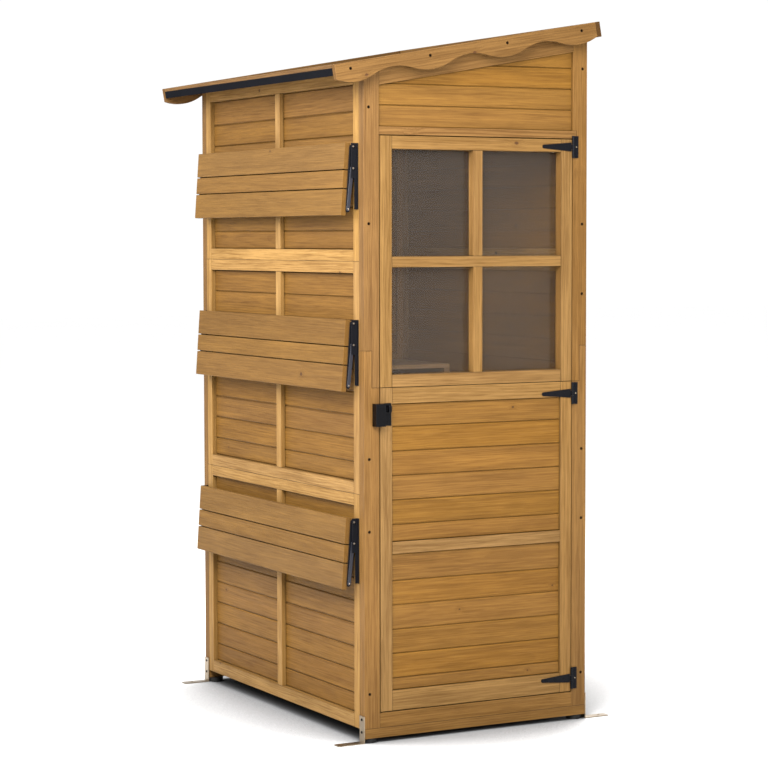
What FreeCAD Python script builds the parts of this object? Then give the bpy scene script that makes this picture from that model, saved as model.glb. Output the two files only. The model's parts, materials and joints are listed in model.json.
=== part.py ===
import FreeCAD, Part
import math
import os

# Garden storage cabinet of fir boards, in millimetres.
# X runs to the right along the door side, Y runs to the back, Z runs up.
# The origin lies on the ground under the middle of the four corner posts.

# Carcass
WIDTH = 660.0
DEPTH = 980.0
FOOT_HEIGHT = 12.0
FOOT_RADIUS = 20.5
FOOT_SIDE_INSET = 22.5
FOOT_END_INSET = 21.5
FOOT_RIM_ROUND = 2.0
POST_WIDTH = 43.0
FRAME_THICK = 26.0
SILL_HEIGHT = 25.0
BOTTOM_RAIL = 38.0
SPLICE_LOW = 898.0
SPLICE_LAP = 93.0

# Boards
BOARD_THICK = 10.0
BOARD_BEVEL = 2.5
BOARD_JOINT = 0.6
BOARD_LEAST = 10.0

# Door and its frame
DOOR_GAP = 2.5
DOOR_SEAM = 1.5
UPPER_DOOR = 629.0
LOWER_DOOR = 819.5
DOOR_STILE = 34.0
DOOR_BOARD = 62.0
DOOR_BOARD_RECESS = 6.0
LOWER_BOTTOM_RAIL = 51.0
LOWER_MID_RAIL = 30.0
LOWER_MID_HEIGHT = 399.0
LOWER_TOP_RAIL = 40.0
LOWER_FIRST_BOARD = 31.0
UPPER_FIRST_BOARD = 44.0
WINDOW_BOTTOM_RAIL = 31.0
WINDOW_TOP_RAIL = 33.0
WINDOW_CROSS_RAIL = 27.5
WINDOW_UPPER_PANE = 268.0
WINDOW_MUNTIN = 26.0
PANE_THICK = 3.0
PANE_LAP = 17.0
JOINING_PLATE_WIDTH = 16.0
JOINING_PLATE_HEIGHT = 90.0
JOINING_PLATE_THICK = 2.0
STOP_WIDTH = 29.0
STOP_THICK = 12.0
STOP_CLEARANCE = 0.3

# Gable over the door
HEADER_HEIGHT = 20.0
HEADER_HOUSING = 10.0
GABLE_RAIL = 46.5
GABLE_BOARD = 54.0
GABLE_RECESS = 9.0

# Side walls, each of three framed panels
WALL_THICK = 24.0
WALL_STILE = 31.0
WALL_RAIL = 30.0
WALL_BOTTOM_RAIL = 34.0
WALL_TOP_RAIL = 36.0
WALL_BATTEN = 28.0
WALL_RECESS = 12.0
WALL_BOARD = 59.5
WALL_FIRST_BOARD = 48.0
WALL_BOTTOM = 34.0
WALL_JOINT_LOW = 629.0
WALL_JOINT_HIGH = 1214.0

# Back wall
BACK_MID_RAIL = 60.0
BACK_MID_HEIGHT = 868.0
BACK_BOARD = 60.0
BACK_RECESS = 9.0

# Floor
FLOOR_TOP = 60.0
FLOOR_BOARDS = 10
FLOOR_GAP = 3.0
JOIST_WIDTH = 36.0
JOIST_HEIGHT = 26.0

# Inside shelf
INNER_SHELF_DROP = 16.0
INNER_SHELF_DEPTH = 280.0
INNER_SLATS = 5
INNER_SLAT_GAP = 8.0
INNER_SLAT_THICK = 12.0
CLEAT_HEIGHT = 26.0
CLEAT_THICK = 18.0

# Roof
ROOF_PITCH = 10.0
EAVE_HEIGHT = 1696.0
EAVE_OVERHANG = 100.0
GABLE_OVERHANG = 28.0
BARGEBOARD_THICK = 16.0
BARGEBOARD_END = 38.0
BARGEBOARD_CREST = 28.0
BARGEBOARD_LOBE = 51.0
WAVE_LENGTH = 218.0
WAVE_START = 50.0
DECK_THICK = 11.0
DECK_BOARDS = 11
FELT_THICK = 2.0
FELT_FOLD = 19.0
FELT_RECESS = 9.0
EAVE_BATTEN_WIDTH = 30.0
EAVE_FILLET_WIDTH = 22.0
FASCIA_THICK = 13.0
FASCIA_HEIGHT = 40.0
RAFTER_WIDTH = 30.0
RAFTER_HEIGHT = 40.0

# Tee hinges
HINGE_LOWER_RISE = 35.0
HINGE_MIDDLE_DROP = 31.0
HINGE_UPPER_DROP = 19.5
HINGE_METAL = 2.5
HINGE_PLATE_WIDTH = 16.5
HINGE_PLATE_HEIGHT = 57.0
HINGE_PLATE_HOLES = 38.0
STRAP_LENGTH = 93.0
STRAP_ROOT = 23.0
STRAP_TIP = 9.0
STRAP_HOLES = (23.0, 51.0, 79.0)
KNUCKLE_RADIUS = 3.5
KNUCKLE_MIDDLE = 12.0
KNUCKLE_OUTER = 22.2
KNUCKLE_GAP = 0.3
PIN_RADIUS = 1.9
PIN_CLEARANCE = 0.06
KNUCKLE_RELIEF = 1.2
HINGE_HOLE = 2.0

# Latch
LATCH_BELOW_SEAM = 38.0
LATCH_HEIGHT = 57.0
LATCH_REACH = 23.0
LATCH_OVER_DOOR = 4.5
LATCH_DEPTH = 22.0
LATCH_WALL = 2.5
LATCH_POST_GAP = 1.0
LATCH_PLATE_WIDTH = 29.0
LATCH_PLATE_THICK = 3.0
BOLT_ABOVE_CASE_END = 43.0
BOLT_BAR_TALL = 10.0
BOLT_BAR_THICK = 5.0
BOLT_TRAVEL = 11.5
BOLT_SETBACK = 1.5
BOLT_CLEARANCE = 0.3
KNOB_WIDTH = 8.5
KNOB_TALL = 17.0
KNOB_DEPTH = 14.0
KNOB_ROUND = 2.0
KEEPER_WIDTH = 6.0
KEEPER_CLEARANCE = 0.6
KEEPER_METAL = 3.0
KEEPER_EDGE = 2.0

# Folding shelves on the left wall
SHELF_PIVOTS = (559.5, 1059.0, 1500.0)
SHELF_NAMES = ("lower", "middle", "upper")
SHELF_FRONT_INSET = 45.5
SHELF_BACK_INSET = 37.0
SLAT_WIDTHS = (66.0, 44.5, 65.5)
SLAT_GAP = 2.5
SLAT_THICK = 14.0
SLAT_ROUND = 1.5
SHELF_LEAN = 4.0
PIVOT_STANDOFF = 13.0
PIVOT_BELOW_TOP = 9.0
ARM_METAL = 2.0
ARM_WIDTH = 10.0
ARM_FLANGE = 20.0
ARM_END = 8.0
STRUT_DROP = 54.0
STRUT_REACH = 156.0
STRUT_WIDTH = 9.0
SHELF_TO_ARM = 3.0
BRACKET_GAP = 1.0
BRACKET_WEB = 17.0
BRACKET_NARROW = 8.0
BRACKET_NECK = 24.0
BRACKET_RISE = 9.0
BRACKET_FLANGE = 8.0
RIVET_RADIUS = 2.2
RIVET_HEAD = 3.2
RIVET_HEAD_HEIGHT = 1.5
RIVET_CLEARANCE = 0.08
SLOT_CLEARANCE = 0.4

# Ground anchors
ANCHOR_WIDTH = 25.0
ANCHOR_THICK = 2.5
ANCHOR_RISE = 69.0
ANCHOR_LEG = 75.0
ANCHOR_HOLE = 4.0
ANCHOR_HOLE_REACH = 50.0
ANCHOR_SCREW_HOLE = 2.5
ANCHOR_SCREWS = (28.0, 60.0)

# Wood screws, set just below the surface
SCREW_RADIUS = 3.0
SCREW_LENGTH = 45.0
SCREW_SINK = 2.0
SCREW_CLEARANCE = 0.05
SCREW_INSET = 14.0
LEFT_POST_SCREWS = (125.0, 536.0, 719.0, 1308.0, 1597.0)
RIGHT_POST_SCREWS = (125.0, 536.0, 719.0, 1126.0, 1308.0, 1711.0)
BARGE_SCREWS = 4
BARGE_SCREW_EAVE_INSET = 41.0
BARGE_SCREW_HIGH_INSET = 46.0

# Places worked out from the sizes above
LEFT = -WIDTH / 2
RIGHT = WIDTH / 2
FRONT = -DEPTH / 2
BACK = DEPTH / 2
SILL_TOP = FOOT_HEIGHT + SILL_HEIGHT
DOOR_BOTTOM = SILL_TOP + BOTTOM_RAIL + DOOR_GAP
DOOR_SPLIT = DOOR_BOTTOM + LOWER_DOOR
DOOR_UPPER_BOTTOM = DOOR_SPLIT + DOOR_SEAM
DOOR_TOP = DOOR_UPPER_BOTTOM + UPPER_DOOR
DOOR_LEFT = LEFT + POST_WIDTH + DOOR_GAP
DOOR_RIGHT = RIGHT - POST_WIDTH - DOOR_GAP
HINGE_HEIGHTS = (
    DOOR_BOTTOM + HINGE_LOWER_RISE,
    DOOR_SPLIT - HINGE_MIDDLE_DROP,
    DOOR_TOP - HINGE_UPPER_DROP,
)
INNER_SHELF_TOP = BACK_MID_HEIGHT + BACK_MID_RAIL - INNER_SHELF_DROP
LATCH_BOTTOM = DOOR_SPLIT - LATCH_BELOW_SEAM - LATCH_HEIGHT
BOLT_HEIGHT = LATCH_BOTTOM + BOLT_ABOVE_CASE_END
HEADER_BOTTOM = DOOR_TOP + DOOR_GAP
HEADER_TOP = HEADER_BOTTOM + HEADER_HEIGHT
EAVE_X = LEFT - EAVE_OVERHANG
ROOF_SLOPE = math.tan(math.radians(ROOF_PITCH))
SQUARE_LEAN = math.sin(math.radians(ROOF_PITCH)) * math.cos(math.radians(ROOF_PITCH))
ROOF_FRONT = FRONT - GABLE_OVERHANG
ROOF_BACK = BACK + GABLE_OVERHANG
ROOF_BUILD = FELT_RECESS + FELT_THICK + DECK_THICK
HINGE_X = DOOR_RIGHT + DOOR_GAP / 2
HINGE_Y = FRONT - KNUCKLE_RADIUS
PIVOT_X = LEFT - PIVOT_STANDOFF
SHELF_START = FRONT + SHELF_FRONT_INSET
SHELF_STOP = BACK - SHELF_BACK_INSET
SHELF_MIDDLE = (SHELF_START + SHELF_STOP) / 2
UP = FreeCAD.Vector(0, 0, 1)
ALONG_Y = FreeCAD.Vector(0, 1, 0)


def roof_top(x):
    return EAVE_HEIGHT + (x - EAVE_X) * ROOF_SLOPE


# The roof's ends are square to the slope: where an end lies at a given depth below the roof's top
def square_end(x, drop):
    return x + (drop - ROOF_BUILD) * SQUARE_LEAN


def wall_top(x):
    return roof_top(x) - ROOF_BUILD


def box(x, y, z):
    corner = FreeCAD.Vector(x[0], y[0], z[0])
    return Part.makeBox(x[1] - x[0], y[1] - y[0], z[1] - z[0], corner)


def prism(points, run):
    wire = Part.makePolygon(points + [points[0]])
    return Part.Face(wire).extrude(run)


def prism_along_y(outline, y):
    points = [FreeCAD.Vector(px, y[0], pz) for px, pz in outline]
    return prism(points, FreeCAD.Vector(0, y[1] - y[0], 0))


def prism_along_x(outline, x):
    points = [FreeCAD.Vector(x[0], py, pz) for py, pz in outline]
    return prism(points, FreeCAD.Vector(x[1] - x[0], 0, 0))


def cylinder(radius, start, direction, length):
    return Part.makeCylinder(radius, length, start, direction)


def mirror_x(shape):
    return shape.mirror(FreeCAD.Vector(0, 0, 0), FreeCAD.Vector(1, 0, 0))


def mirror_y(shape, middle=0.0):
    return shape.mirror(FreeCAD.Vector(0, middle, 0), FreeCAD.Vector(0, 1, 0))


def save(name, *shapes):
    solids = [solid for shape in shapes for solid in shape.Solids]
    body = solids[0] if len(solids) == 1 else Part.makeCompound(solids)
    body.exportStep("parts/" + name + ".step")


# A board's cross-section: its face looks outward (+1 or -1) and its long edges are bevelled
def board_outline(face, outward, low, high):
    rear = face - outward * BOARD_THICK
    edge = face - outward * BOARD_BEVEL
    return [
        (rear, low),
        (edge, low),
        (face, low + BOARD_BEVEL),
        (face, high - BOARD_BEVEL),
        (edge, high),
        (rear, high),
    ]


# Heights of the boards between two rails, counted up from the first seam
def board_rows(low, high, first, pitch):
    seams = [low]
    seam = low + first
    while seam < high - BOARD_LEAST:
        seams.append(seam)
        seam += pitch
    seams.append(high)
    rows = []
    for lower, upper in zip(seams, seams[1:]):
        top = upper if upper == high else upper - BOARD_JOINT
        rows.append((lower, top))
    return rows


def boards_along_x(x, face, outward, rows):
    return [prism_along_x(board_outline(face, outward, low, high), x) for low, high in rows]


def boards_along_y(y, face, outward, rows):
    return [prism_along_y(board_outline(face, outward, low, high), y) for low, high in rows]


# An upright piece whose top follows the roof
def upright(x, y, bottom):
    outline = [(x[0], bottom), (x[1], bottom), (x[1], wall_top(x[1])), (x[0], wall_top(x[0]))]
    return prism_along_y(outline, y)


# A sloping piece that lies between two heights below the top edge of the roof
def sloping(x, y, upper, lower):
    outline = [
        (x[0], roof_top(x[0]) - lower),
        (x[1], roof_top(x[1]) - lower),
        (x[1], roof_top(x[1]) - upper),
        (x[0], roof_top(x[0]) - upper),
    ]
    return prism_along_y(outline, y)


# A layer of the roof with both ends square to the slope
def layer(x, y, upper, lower):
    outline = []
    for end, drop in ((x[0], lower), (x[1], lower), (x[1], upper), (x[0], upper)):
        corner = square_end(end, drop)
        outline.append((corner, roof_top(corner) - drop))
    return prism_along_y(outline, y)


# Everything over the lower edge of a sloping rail, to trim boards to it
def above_gable_rail(y):
    lower = ROOF_BUILD + GABLE_RAIL
    outline = [
        (LEFT, roof_top(LEFT) - lower),
        (RIGHT, roof_top(RIGHT) - lower),
        (RIGHT, roof_top(RIGHT)),
        (LEFT, roof_top(RIGHT)),
    ]
    return prism_along_y(outline, y)


# Screws driven along Y into a face, and the holes they leave
def screw_at(x, z, face, inward):
    start = FreeCAD.Vector(x, face + inward * SCREW_SINK, z)
    direction = FreeCAD.Vector(0, inward, 0)
    return cylinder(SCREW_RADIUS, start, direction, SCREW_LENGTH - SCREW_SINK)


def screw_hole(x, z, face, inward):
    start = FreeCAD.Vector(x, face, z)
    direction = FreeCAD.Vector(0, inward, 0)
    return cylinder(SCREW_RADIUS + SCREW_CLEARANCE, start, direction, SCREW_LENGTH)


def drill(shape, places, face, inward):
    for x, z in places:
        shape = shape.cut(screw_hole(x, z, face, inward))
    return shape


LEFT_PLACES = [(LEFT + SCREW_INSET, z) for z in LEFT_POST_SCREWS]
RIGHT_PLACES = [(RIGHT - SCREW_INSET, z) for z in RIGHT_POST_SCREWS]
BARGE_DROP = FELT_RECESS + FELT_THICK + DECK_THICK / 2
BARGE_FIRST = EAVE_X + BARGE_SCREW_EAVE_INSET
BARGE_STEP = (RIGHT - BARGE_SCREW_HIGH_INSET - BARGE_FIRST) / (BARGE_SCREWS - 1)
BARGE_XS = [BARGE_FIRST + BARGE_STEP * count for count in range(BARGE_SCREWS)]
BARGE_PLACES = [(x, roof_top(x) - BARGE_DROP) for x in BARGE_XS]


# Corner posts, each spliced with a half lap at the height of the door's seam
def post_pair(side, y):
    outer = (LEFT, LEFT + POST_WIDTH / 2)
    inner = (LEFT + POST_WIDTH / 2, LEFT + POST_WIDTH)
    if side > 0:
        outer = (RIGHT - POST_WIDTH / 2, RIGHT)
        inner = (RIGHT - POST_WIDTH, RIGHT - POST_WIDTH / 2)
    whole = (min(outer[0], inner[0]), max(outer[1], inner[1]))
    lap_top = SPLICE_LOW + SPLICE_LAP
    lower = box(whole, y, (SILL_TOP, SPLICE_LOW))
    lower = lower.fuse(box(outer, y, (SPLICE_LOW, lap_top))).removeSplitter()
    upper = upright(whole, y, lap_top)
    upper = upper.fuse(box(inner, y, (SPLICE_LOW, lap_top))).removeSplitter()
    return lower, upper


def end_frames():
    front = (FRONT, FRONT + FRAME_THICK)
    back = (BACK - FRAME_THICK, BACK)
    left_lower, left_upper = post_pair(-1, front)
    right_lower, right_upper = post_pair(1, front)
    between = (LEFT + POST_WIDTH, RIGHT - POST_WIDTH)
    header_x = (between[0], between[1] + HEADER_HOUSING)
    header = box(header_x, front, (HEADER_BOTTOM, HEADER_TOP))
    right_upper = right_upper.cut(header)
    save("front_header", header)
    save("front_left_post_lower", drill(left_lower, LEFT_PLACES, FRONT, 1))
    save("front_left_post_upper", drill(left_upper, LEFT_PLACES, FRONT, 1))
    save("front_right_post_lower", drill(right_lower, RIGHT_PLACES, FRONT, 1))
    save("front_right_post_upper", drill(right_upper, RIGHT_PLACES, FRONT, 1))
    left_posts = [drill(post, LEFT_PLACES, BACK, -1) for post in post_pair(-1, back)]
    right_posts = [drill(post, RIGHT_PLACES, BACK, -1) for post in post_pair(1, back)]
    save("back_left_post", *left_posts)
    save("back_right_post", *right_posts)
    save("front_sill", box((LEFT, RIGHT), front, (FOOT_HEIGHT, SILL_TOP)))
    save("back_sill", box((LEFT, RIGHT), back, (FOOT_HEIGHT, SILL_TOP)))
    save("front_bottom_rail", box(between, front, (SILL_TOP, SILL_TOP + BOTTOM_RAIL)))
    save("front_gable_rail", sloping(between, front, ROOF_BUILD, ROOF_BUILD + GABLE_RAIL))
    save("back_top_rail", sloping(between, back, ROOF_BUILD, ROOF_BUILD + GABLE_RAIL))
    gable_top = roof_top(RIGHT) - ROOF_BUILD - GABLE_RAIL
    rows = board_rows(HEADER_TOP, gable_top, GABLE_BOARD, GABLE_BOARD)
    gable = boards_along_x(between, FRONT + GABLE_RECESS, -1, rows)
    save("front_gable_boards", *[board.cut(above_gable_rail(front)) for board in gable])
    back_low = SILL_TOP + BOTTOM_RAIL
    mid_top = BACK_MID_HEIGHT + BACK_MID_RAIL
    save(
        "back_rails",
        box(between, back, (SILL_TOP, back_low)),
        box(between, back, (BACK_MID_HEIGHT, mid_top)),
    )
    lower_rows = board_rows(back_low, BACK_MID_HEIGHT, BACK_BOARD, BACK_BOARD)
    upper_rows = board_rows(mid_top, gable_top, BACK_BOARD, BACK_BOARD)
    boards = boards_along_x(between, BACK - BACK_RECESS, 1, lower_rows + upper_rows)
    save("back_boards", *[board.cut(above_gable_rail(back)) for board in boards])


# One side wall: three framed panels of level boards with a batten down the middle
def side_wall(name, side):
    outer = RIGHT if side > 0 else LEFT
    inner = outer - side * WALL_THICK
    x = (min(outer, inner), max(outer, inner))
    y = (FRONT + FRAME_THICK, BACK - FRAME_THICK)
    front_stile = (y[0], y[0] + WALL_STILE)
    back_stile = (y[1] - WALL_STILE, y[1])
    bay = (front_stile[1], back_stile[0])
    batten = (-WALL_BATTEN / 2, WALL_BATTEN / 2)
    face = outer - side * WALL_RECESS
    proud = (min(outer, face), max(outer, face))
    levels = [WALL_BOTTOM, WALL_JOINT_LOW, WALL_JOINT_HIGH]
    boards = []
    for panel, bottom in zip(("lower", "middle", "upper"), levels):
        low_rail = WALL_BOTTOM_RAIL if panel == "lower" else WALL_RAIL
        low = bottom + low_rail
        if panel == "upper":
            high = min(wall_top(x[0]), wall_top(x[1])) - WALL_TOP_RAIL
            stiles = [upright(x, front_stile, bottom), upright(x, back_stile, bottom)]
            top_rail = upright(x, bay, high)
        else:
            top = levels[levels.index(bottom) + 1]
            high = top - WALL_RAIL
            stiles = [box(x, front_stile, (bottom, top)), box(x, back_stile, (bottom, top))]
            top_rail = box(x, bay, (high, top))
        places = RIGHT_PLACES if side > 0 else LEFT_PLACES
        stiles[0] = drill(stiles[0], places, FRONT, 1)
        stiles[1] = drill(stiles[1], places, BACK, -1)
        bottom_rail = box(x, bay, (bottom, low))
        middle = box(proud, batten, (low, high))
        save(name + "_wall_" + panel + "_frame", *stiles, bottom_rail, top_rail, middle)
        rows = board_rows(low, high, WALL_FIRST_BOARD, WALL_BOARD)
        boards += boards_along_y(bay, face, side, rows)
    save(name + "_wall_boards", *boards)


def floor():
    x = (LEFT + WALL_THICK, RIGHT - WALL_THICK)
    y = (FRONT + FRAME_THICK, BACK - FRAME_THICK)
    joist_top = FLOOR_TOP - BOARD_THICK
    starts = (x[0], -JOIST_WIDTH / 2, x[1] - JOIST_WIDTH)
    joists = [box((s, s + JOIST_WIDTH), y, (joist_top - JOIST_HEIGHT, joist_top)) for s in starts]
    save("floor_joists", *joists)
    pitch = (y[1] - y[0] + FLOOR_GAP) / FLOOR_BOARDS
    starts = [y[0] + pitch * count for count in range(FLOOR_BOARDS)]
    boards = [box(x, (s, s + pitch - FLOOR_GAP), (joist_top, FLOOR_TOP)) for s in starts]
    save("floor_boards", *boards)


def inner_shelf():
    x = (LEFT + WALL_THICK, RIGHT - WALL_THICK)
    y = (BACK - FRAME_THICK - INNER_SHELF_DEPTH, BACK - FRAME_THICK)
    underside = INNER_SHELF_TOP - INNER_SLAT_THICK
    pitch = (INNER_SHELF_DEPTH + INNER_SLAT_GAP) / INNER_SLATS
    starts = [y[0] + pitch * count for count in range(INNER_SLATS)]
    slats = [box(x, (s, s + pitch - INNER_SLAT_GAP), (underside, INNER_SHELF_TOP)) for s in starts]
    save("inner_shelf_slats", *slats)
    z = (underside - CLEAT_HEIGHT, underside)
    left = box((x[0], x[0] + CLEAT_THICK), y, z)
    right = box((x[1] - CLEAT_THICK, x[1]), y, z)
    save("inner_shelf_cleats", left, right)


# The scalloped bargeboard: arcs of one wave length along the slope
def bargeboard(y):
    left = square_end(EAVE_X, BARGEBOARD_END)
    right = square_end(RIGHT, BARGEBOARD_END)
    middle = (BARGEBOARD_LOBE + BARGEBOARD_CREST) / 2

    def point(x, drop):
        return FreeCAD.Vector(x, y[0], roof_top(x) - drop)

    quarter = WAVE_LENGTH / 4
    first_cross = left + WAVE_START + quarter
    eave_corner = point(square_end(EAVE_X, 0), 0)
    high_corner = point(square_end(RIGHT, 0), 0)
    edges = [
        Part.makeLine(eave_corner, high_corner),
        Part.makeLine(eave_corner, point(left, BARGEBOARD_END)),
        Part.Arc(
            point(left, BARGEBOARD_END),
            point(left + WAVE_START, BARGEBOARD_LOBE),
            point(first_cross, middle),
        ).toShape(),
    ]
    start = first_cross
    drop = BARGEBOARD_CREST
    while start + 3 * quarter < right:
        edges.append(
            Part.Arc(
                point(start, middle),
                point(start + quarter, drop),
                point(start + 2 * quarter, middle),
            ).toShape()
        )
        start += 2 * quarter
        drop = BARGEBOARD_LOBE + BARGEBOARD_CREST - drop
    edges.append(
        Part.Arc(
            point(start, middle),
            point((start + right) / 2, BARGEBOARD_LOBE),
            point(right, BARGEBOARD_END),
        ).toShape()
    )
    edges.append(Part.makeLine(point(right, BARGEBOARD_END), high_corner))
    wire = Part.Wire(Part.__sortEdges__(edges))
    return Part.Face(wire).extrude(FreeCAD.Vector(0, y[1] - y[0], 0))


def roof():
    deck_x = (EAVE_X + FELT_THICK, RIGHT)
    pitch = (ROOF_BACK - ROOF_FRONT) / DECK_BOARDS
    felt_bottom = FELT_RECESS + FELT_THICK
    deck = []
    for count in range(DECK_BOARDS):
        start = ROOF_FRONT + pitch * count
        stop = start + pitch - (BOARD_JOINT if count < DECK_BOARDS - 1 else 0)
        deck.append(layer(deck_x, (start, stop), felt_bottom, ROOF_BUILD))
    screws = [screw_hole(x, z, ROOF_FRONT - BARGEBOARD_THICK, 1) for x, z in BARGE_PLACES]
    screws += [screw_hole(x, z, ROOF_BACK + BARGEBOARD_THICK, -1) for x, z in BARGE_PLACES]
    for hole in screws:
        deck[0] = deck[0].cut(hole)
        deck[-1] = deck[-1].cut(hole)
    save("roof_deck_boards", *deck)
    between = (ROOF_FRONT, ROOF_BACK)
    sheet = layer((EAVE_X, RIGHT), between, FELT_RECESS, felt_bottom)
    fold_bottom = FELT_RECESS + FELT_FOLD
    fold = layer((EAVE_X, EAVE_X + FELT_THICK), between, FELT_RECESS, fold_bottom)
    save("roof_felt", sheet.fuse(fold).removeSplitter())
    batten_x = (EAVE_X, EAVE_X + EAVE_BATTEN_WIDTH)
    fillet_x = (deck_x[0], deck_x[0] + EAVE_FILLET_WIDTH)
    top_batten = layer(batten_x, between, 0, FELT_RECESS)
    fillet = layer(fillet_x, between, ROOF_BUILD, fold_bottom)
    save("roof_eave_battens", top_batten, fillet)
    front = bargeboard((ROOF_FRONT - BARGEBOARD_THICK, ROOF_FRONT))
    back = bargeboard((ROOF_BACK, ROOF_BACK + BARGEBOARD_THICK))
    save("roof_bargeboard_front", drill(front, BARGE_PLACES, ROOF_FRONT - BARGEBOARD_THICK, 1))
    save("roof_bargeboard_back", drill(back, BARGE_PLACES, ROOF_BACK + BARGEBOARD_THICK, -1))
    fascia_x = (RIGHT, RIGHT + FASCIA_THICK * math.cos(math.radians(ROOF_PITCH)))
    fascia_y = (ROOF_FRONT - BARGEBOARD_THICK, ROOF_BACK + BARGEBOARD_THICK)
    save("roof_fascia", layer(fascia_x, fascia_y, 0, FASCIA_HEIGHT))
    rafter_x = (LEFT + WALL_THICK, RIGHT - WALL_THICK)
    rafter_y = (-RAFTER_WIDTH / 2, RAFTER_WIDTH / 2)
    save("roof_rafter", sloping(rafter_x, rafter_y, ROOF_BUILD, ROOF_BUILD + RAFTER_HEIGHT))


def door():
    y = (FRONT, FRONT + FRAME_THICK)
    x = (DOOR_LEFT, DOOR_RIGHT)
    left = (x[0], x[0] + DOOR_STILE)
    right = (x[1] - DOOR_STILE, x[1])
    bay = (left[1], right[0])
    low = (DOOR_BOTTOM, DOOR_SPLIT)
    mid_low = DOOR_BOTTOM + LOWER_MID_HEIGHT
    mid_high = mid_low + LOWER_MID_RAIL
    bay_low = low[0] + LOWER_BOTTOM_RAIL
    bay_high = low[1] - LOWER_TOP_RAIL
    save(
        "door_lower_frame",
        box(left, y, low),
        box(right, y, low),
        box(bay, y, (low[0], bay_low)),
        box(bay, y, (mid_low, mid_high)),
        box(bay, y, (bay_high, low[1])),
    )
    rows = board_rows(bay_low, mid_low, LOWER_FIRST_BOARD, DOOR_BOARD)
    rows += board_rows(mid_high, bay_high, UPPER_FIRST_BOARD, DOOR_BOARD)
    save("door_lower_boards", *boards_along_x(bay, FRONT + DOOR_BOARD_RECESS, -1, rows))
    high = (DOOR_UPPER_BOTTOM, DOOR_TOP)
    glass_low = high[0] + WINDOW_BOTTOM_RAIL
    glass_high = high[1] - WINDOW_TOP_RAIL
    save(
        "door_upper_frame",
        box(left, y, high),
        box(right, y, high),
        box(bay, y, (high[0], glass_low)),
        box(bay, y, (glass_high, high[1])),
    )
    middle = (bay[0] + bay[1]) / 2
    muntin = (middle - WINDOW_MUNTIN / 2, middle + WINDOW_MUNTIN / 2)
    cross_high = glass_high - WINDOW_UPPER_PANE
    cross_low = cross_high - WINDOW_CROSS_RAIL
    save(
        "door_muntins",
        box(bay, y, (cross_low, cross_high)),
        box(muntin, y, (cross_high, glass_high)),
        box(muntin, y, (glass_low, cross_low)),
    )
    pane_x = (bay[0] - PANE_LAP, bay[1] + PANE_LAP)
    pane_z = (glass_low - PANE_LAP, glass_high + PANE_LAP)
    save("door_pane", box(pane_x, (y[1], y[1] + PANE_THICK), pane_z))
    plates = []
    for stile in (left, right):
        centre = (stile[0] + stile[1]) / 2
        plate_x = (centre - JOINING_PLATE_WIDTH / 2, centre + JOINING_PLATE_WIDTH / 2)
        plate_z = (DOOR_SPLIT - JOINING_PLATE_HEIGHT, DOOR_UPPER_BOTTOM + WINDOW_BOTTOM_RAIL - PANE_LAP)
        plates.append(box(plate_x, (y[1], y[1] + JOINING_PLATE_THICK), plate_z))
    save("door_joining_plates", *plates)
    stop_x = (LEFT + WALL_THICK, LEFT + WALL_THICK + STOP_WIDTH)
    stop_y = (y[1], y[1] + STOP_THICK)
    stop_z = (SILL_TOP + BOTTOM_RAIL, HEADER_BOTTOM)
    stop = box(stop_x, stop_y, stop_z)
    relief = box((LEFT + POST_WIDTH, stop_x[1]), (y[1], y[1] + STOP_CLEARANCE), stop_z)
    save("door_stop", stop.cut(relief))


# Tee hinges: plate on the post, tapered strap on the door, loose pin
def hinges():
    plates = []
    straps = []
    pins = []
    reach = KNUCKLE_RADIUS + KNUCKLE_RELIEF
    metal = (FRONT - HINGE_METAL, FRONT)
    bore = PIN_RADIUS + PIN_CLEARANCE
    half = KNUCKLE_MIDDLE / 2
    outer = half + KNUCKLE_GAP + KNUCKLE_OUTER

    def barrel(radius, low, high):
        return cylinder(radius, FreeCAD.Vector(HINGE_X, HINGE_Y, low), UP, high - low)

    for height in HINGE_HEIGHTS:
        plate_x = (HINGE_X + reach, HINGE_X + HINGE_PLATE_WIDTH)
        plate_z = (height - HINGE_PLATE_HEIGHT / 2, height + HINGE_PLATE_HEIGHT / 2)
        plate = box(plate_x, metal, plate_z)
        for low in (height - outer, height + half + KNUCKLE_GAP):
            tab = box((HINGE_X, plate_x[0]), metal, (low, low + KNUCKLE_OUTER))
            plate = plate.fuse(tab).fuse(barrel(KNUCKLE_RADIUS, low, low + KNUCKLE_OUTER))
        plate = plate.cut(barrel(bore, height - outer, height + outer))
        for rise in (-HINGE_PLATE_HOLES / 2, HINGE_PLATE_HOLES / 2):
            start = FreeCAD.Vector((plate_x[0] + plate_x[1]) / 2, metal[0], height + rise)
            plate = plate.cut(cylinder(HINGE_HOLE, start, ALONG_Y, HINGE_METAL))
        plates.append(plate.removeSplitter())
        root_x = HINGE_X - reach
        tip_x = HINGE_X - STRAP_LENGTH
        outline = [
            FreeCAD.Vector(root_x, metal[0], height - STRAP_ROOT / 2),
            FreeCAD.Vector(root_x, metal[0], height + STRAP_ROOT / 2),
            FreeCAD.Vector(tip_x, metal[0], height + STRAP_TIP / 2),
            FreeCAD.Vector(tip_x, metal[0], height - STRAP_TIP / 2),
        ]
        strap = prism(outline, FreeCAD.Vector(0, HINGE_METAL, 0))
        strap = strap.fuse(box((root_x, HINGE_X), metal, (height - half, height + half)))
        strap = strap.fuse(barrel(KNUCKLE_RADIUS, height - half, height + half))
        strap = strap.cut(barrel(bore, height - half, height + half))
        for distance in STRAP_HOLES:
            start = FreeCAD.Vector(HINGE_X - distance, metal[0], height)
            strap = strap.cut(cylinder(HINGE_HOLE, start, ALONG_Y, HINGE_METAL))
        straps.append(strap.removeSplitter())
        pins.append(barrel(PIN_RADIUS, height - outer, height + outer))
    save("hinge_plates", *plates)
    save("hinge_straps", *straps)
    save("hinge_pins", *pins)


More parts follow.
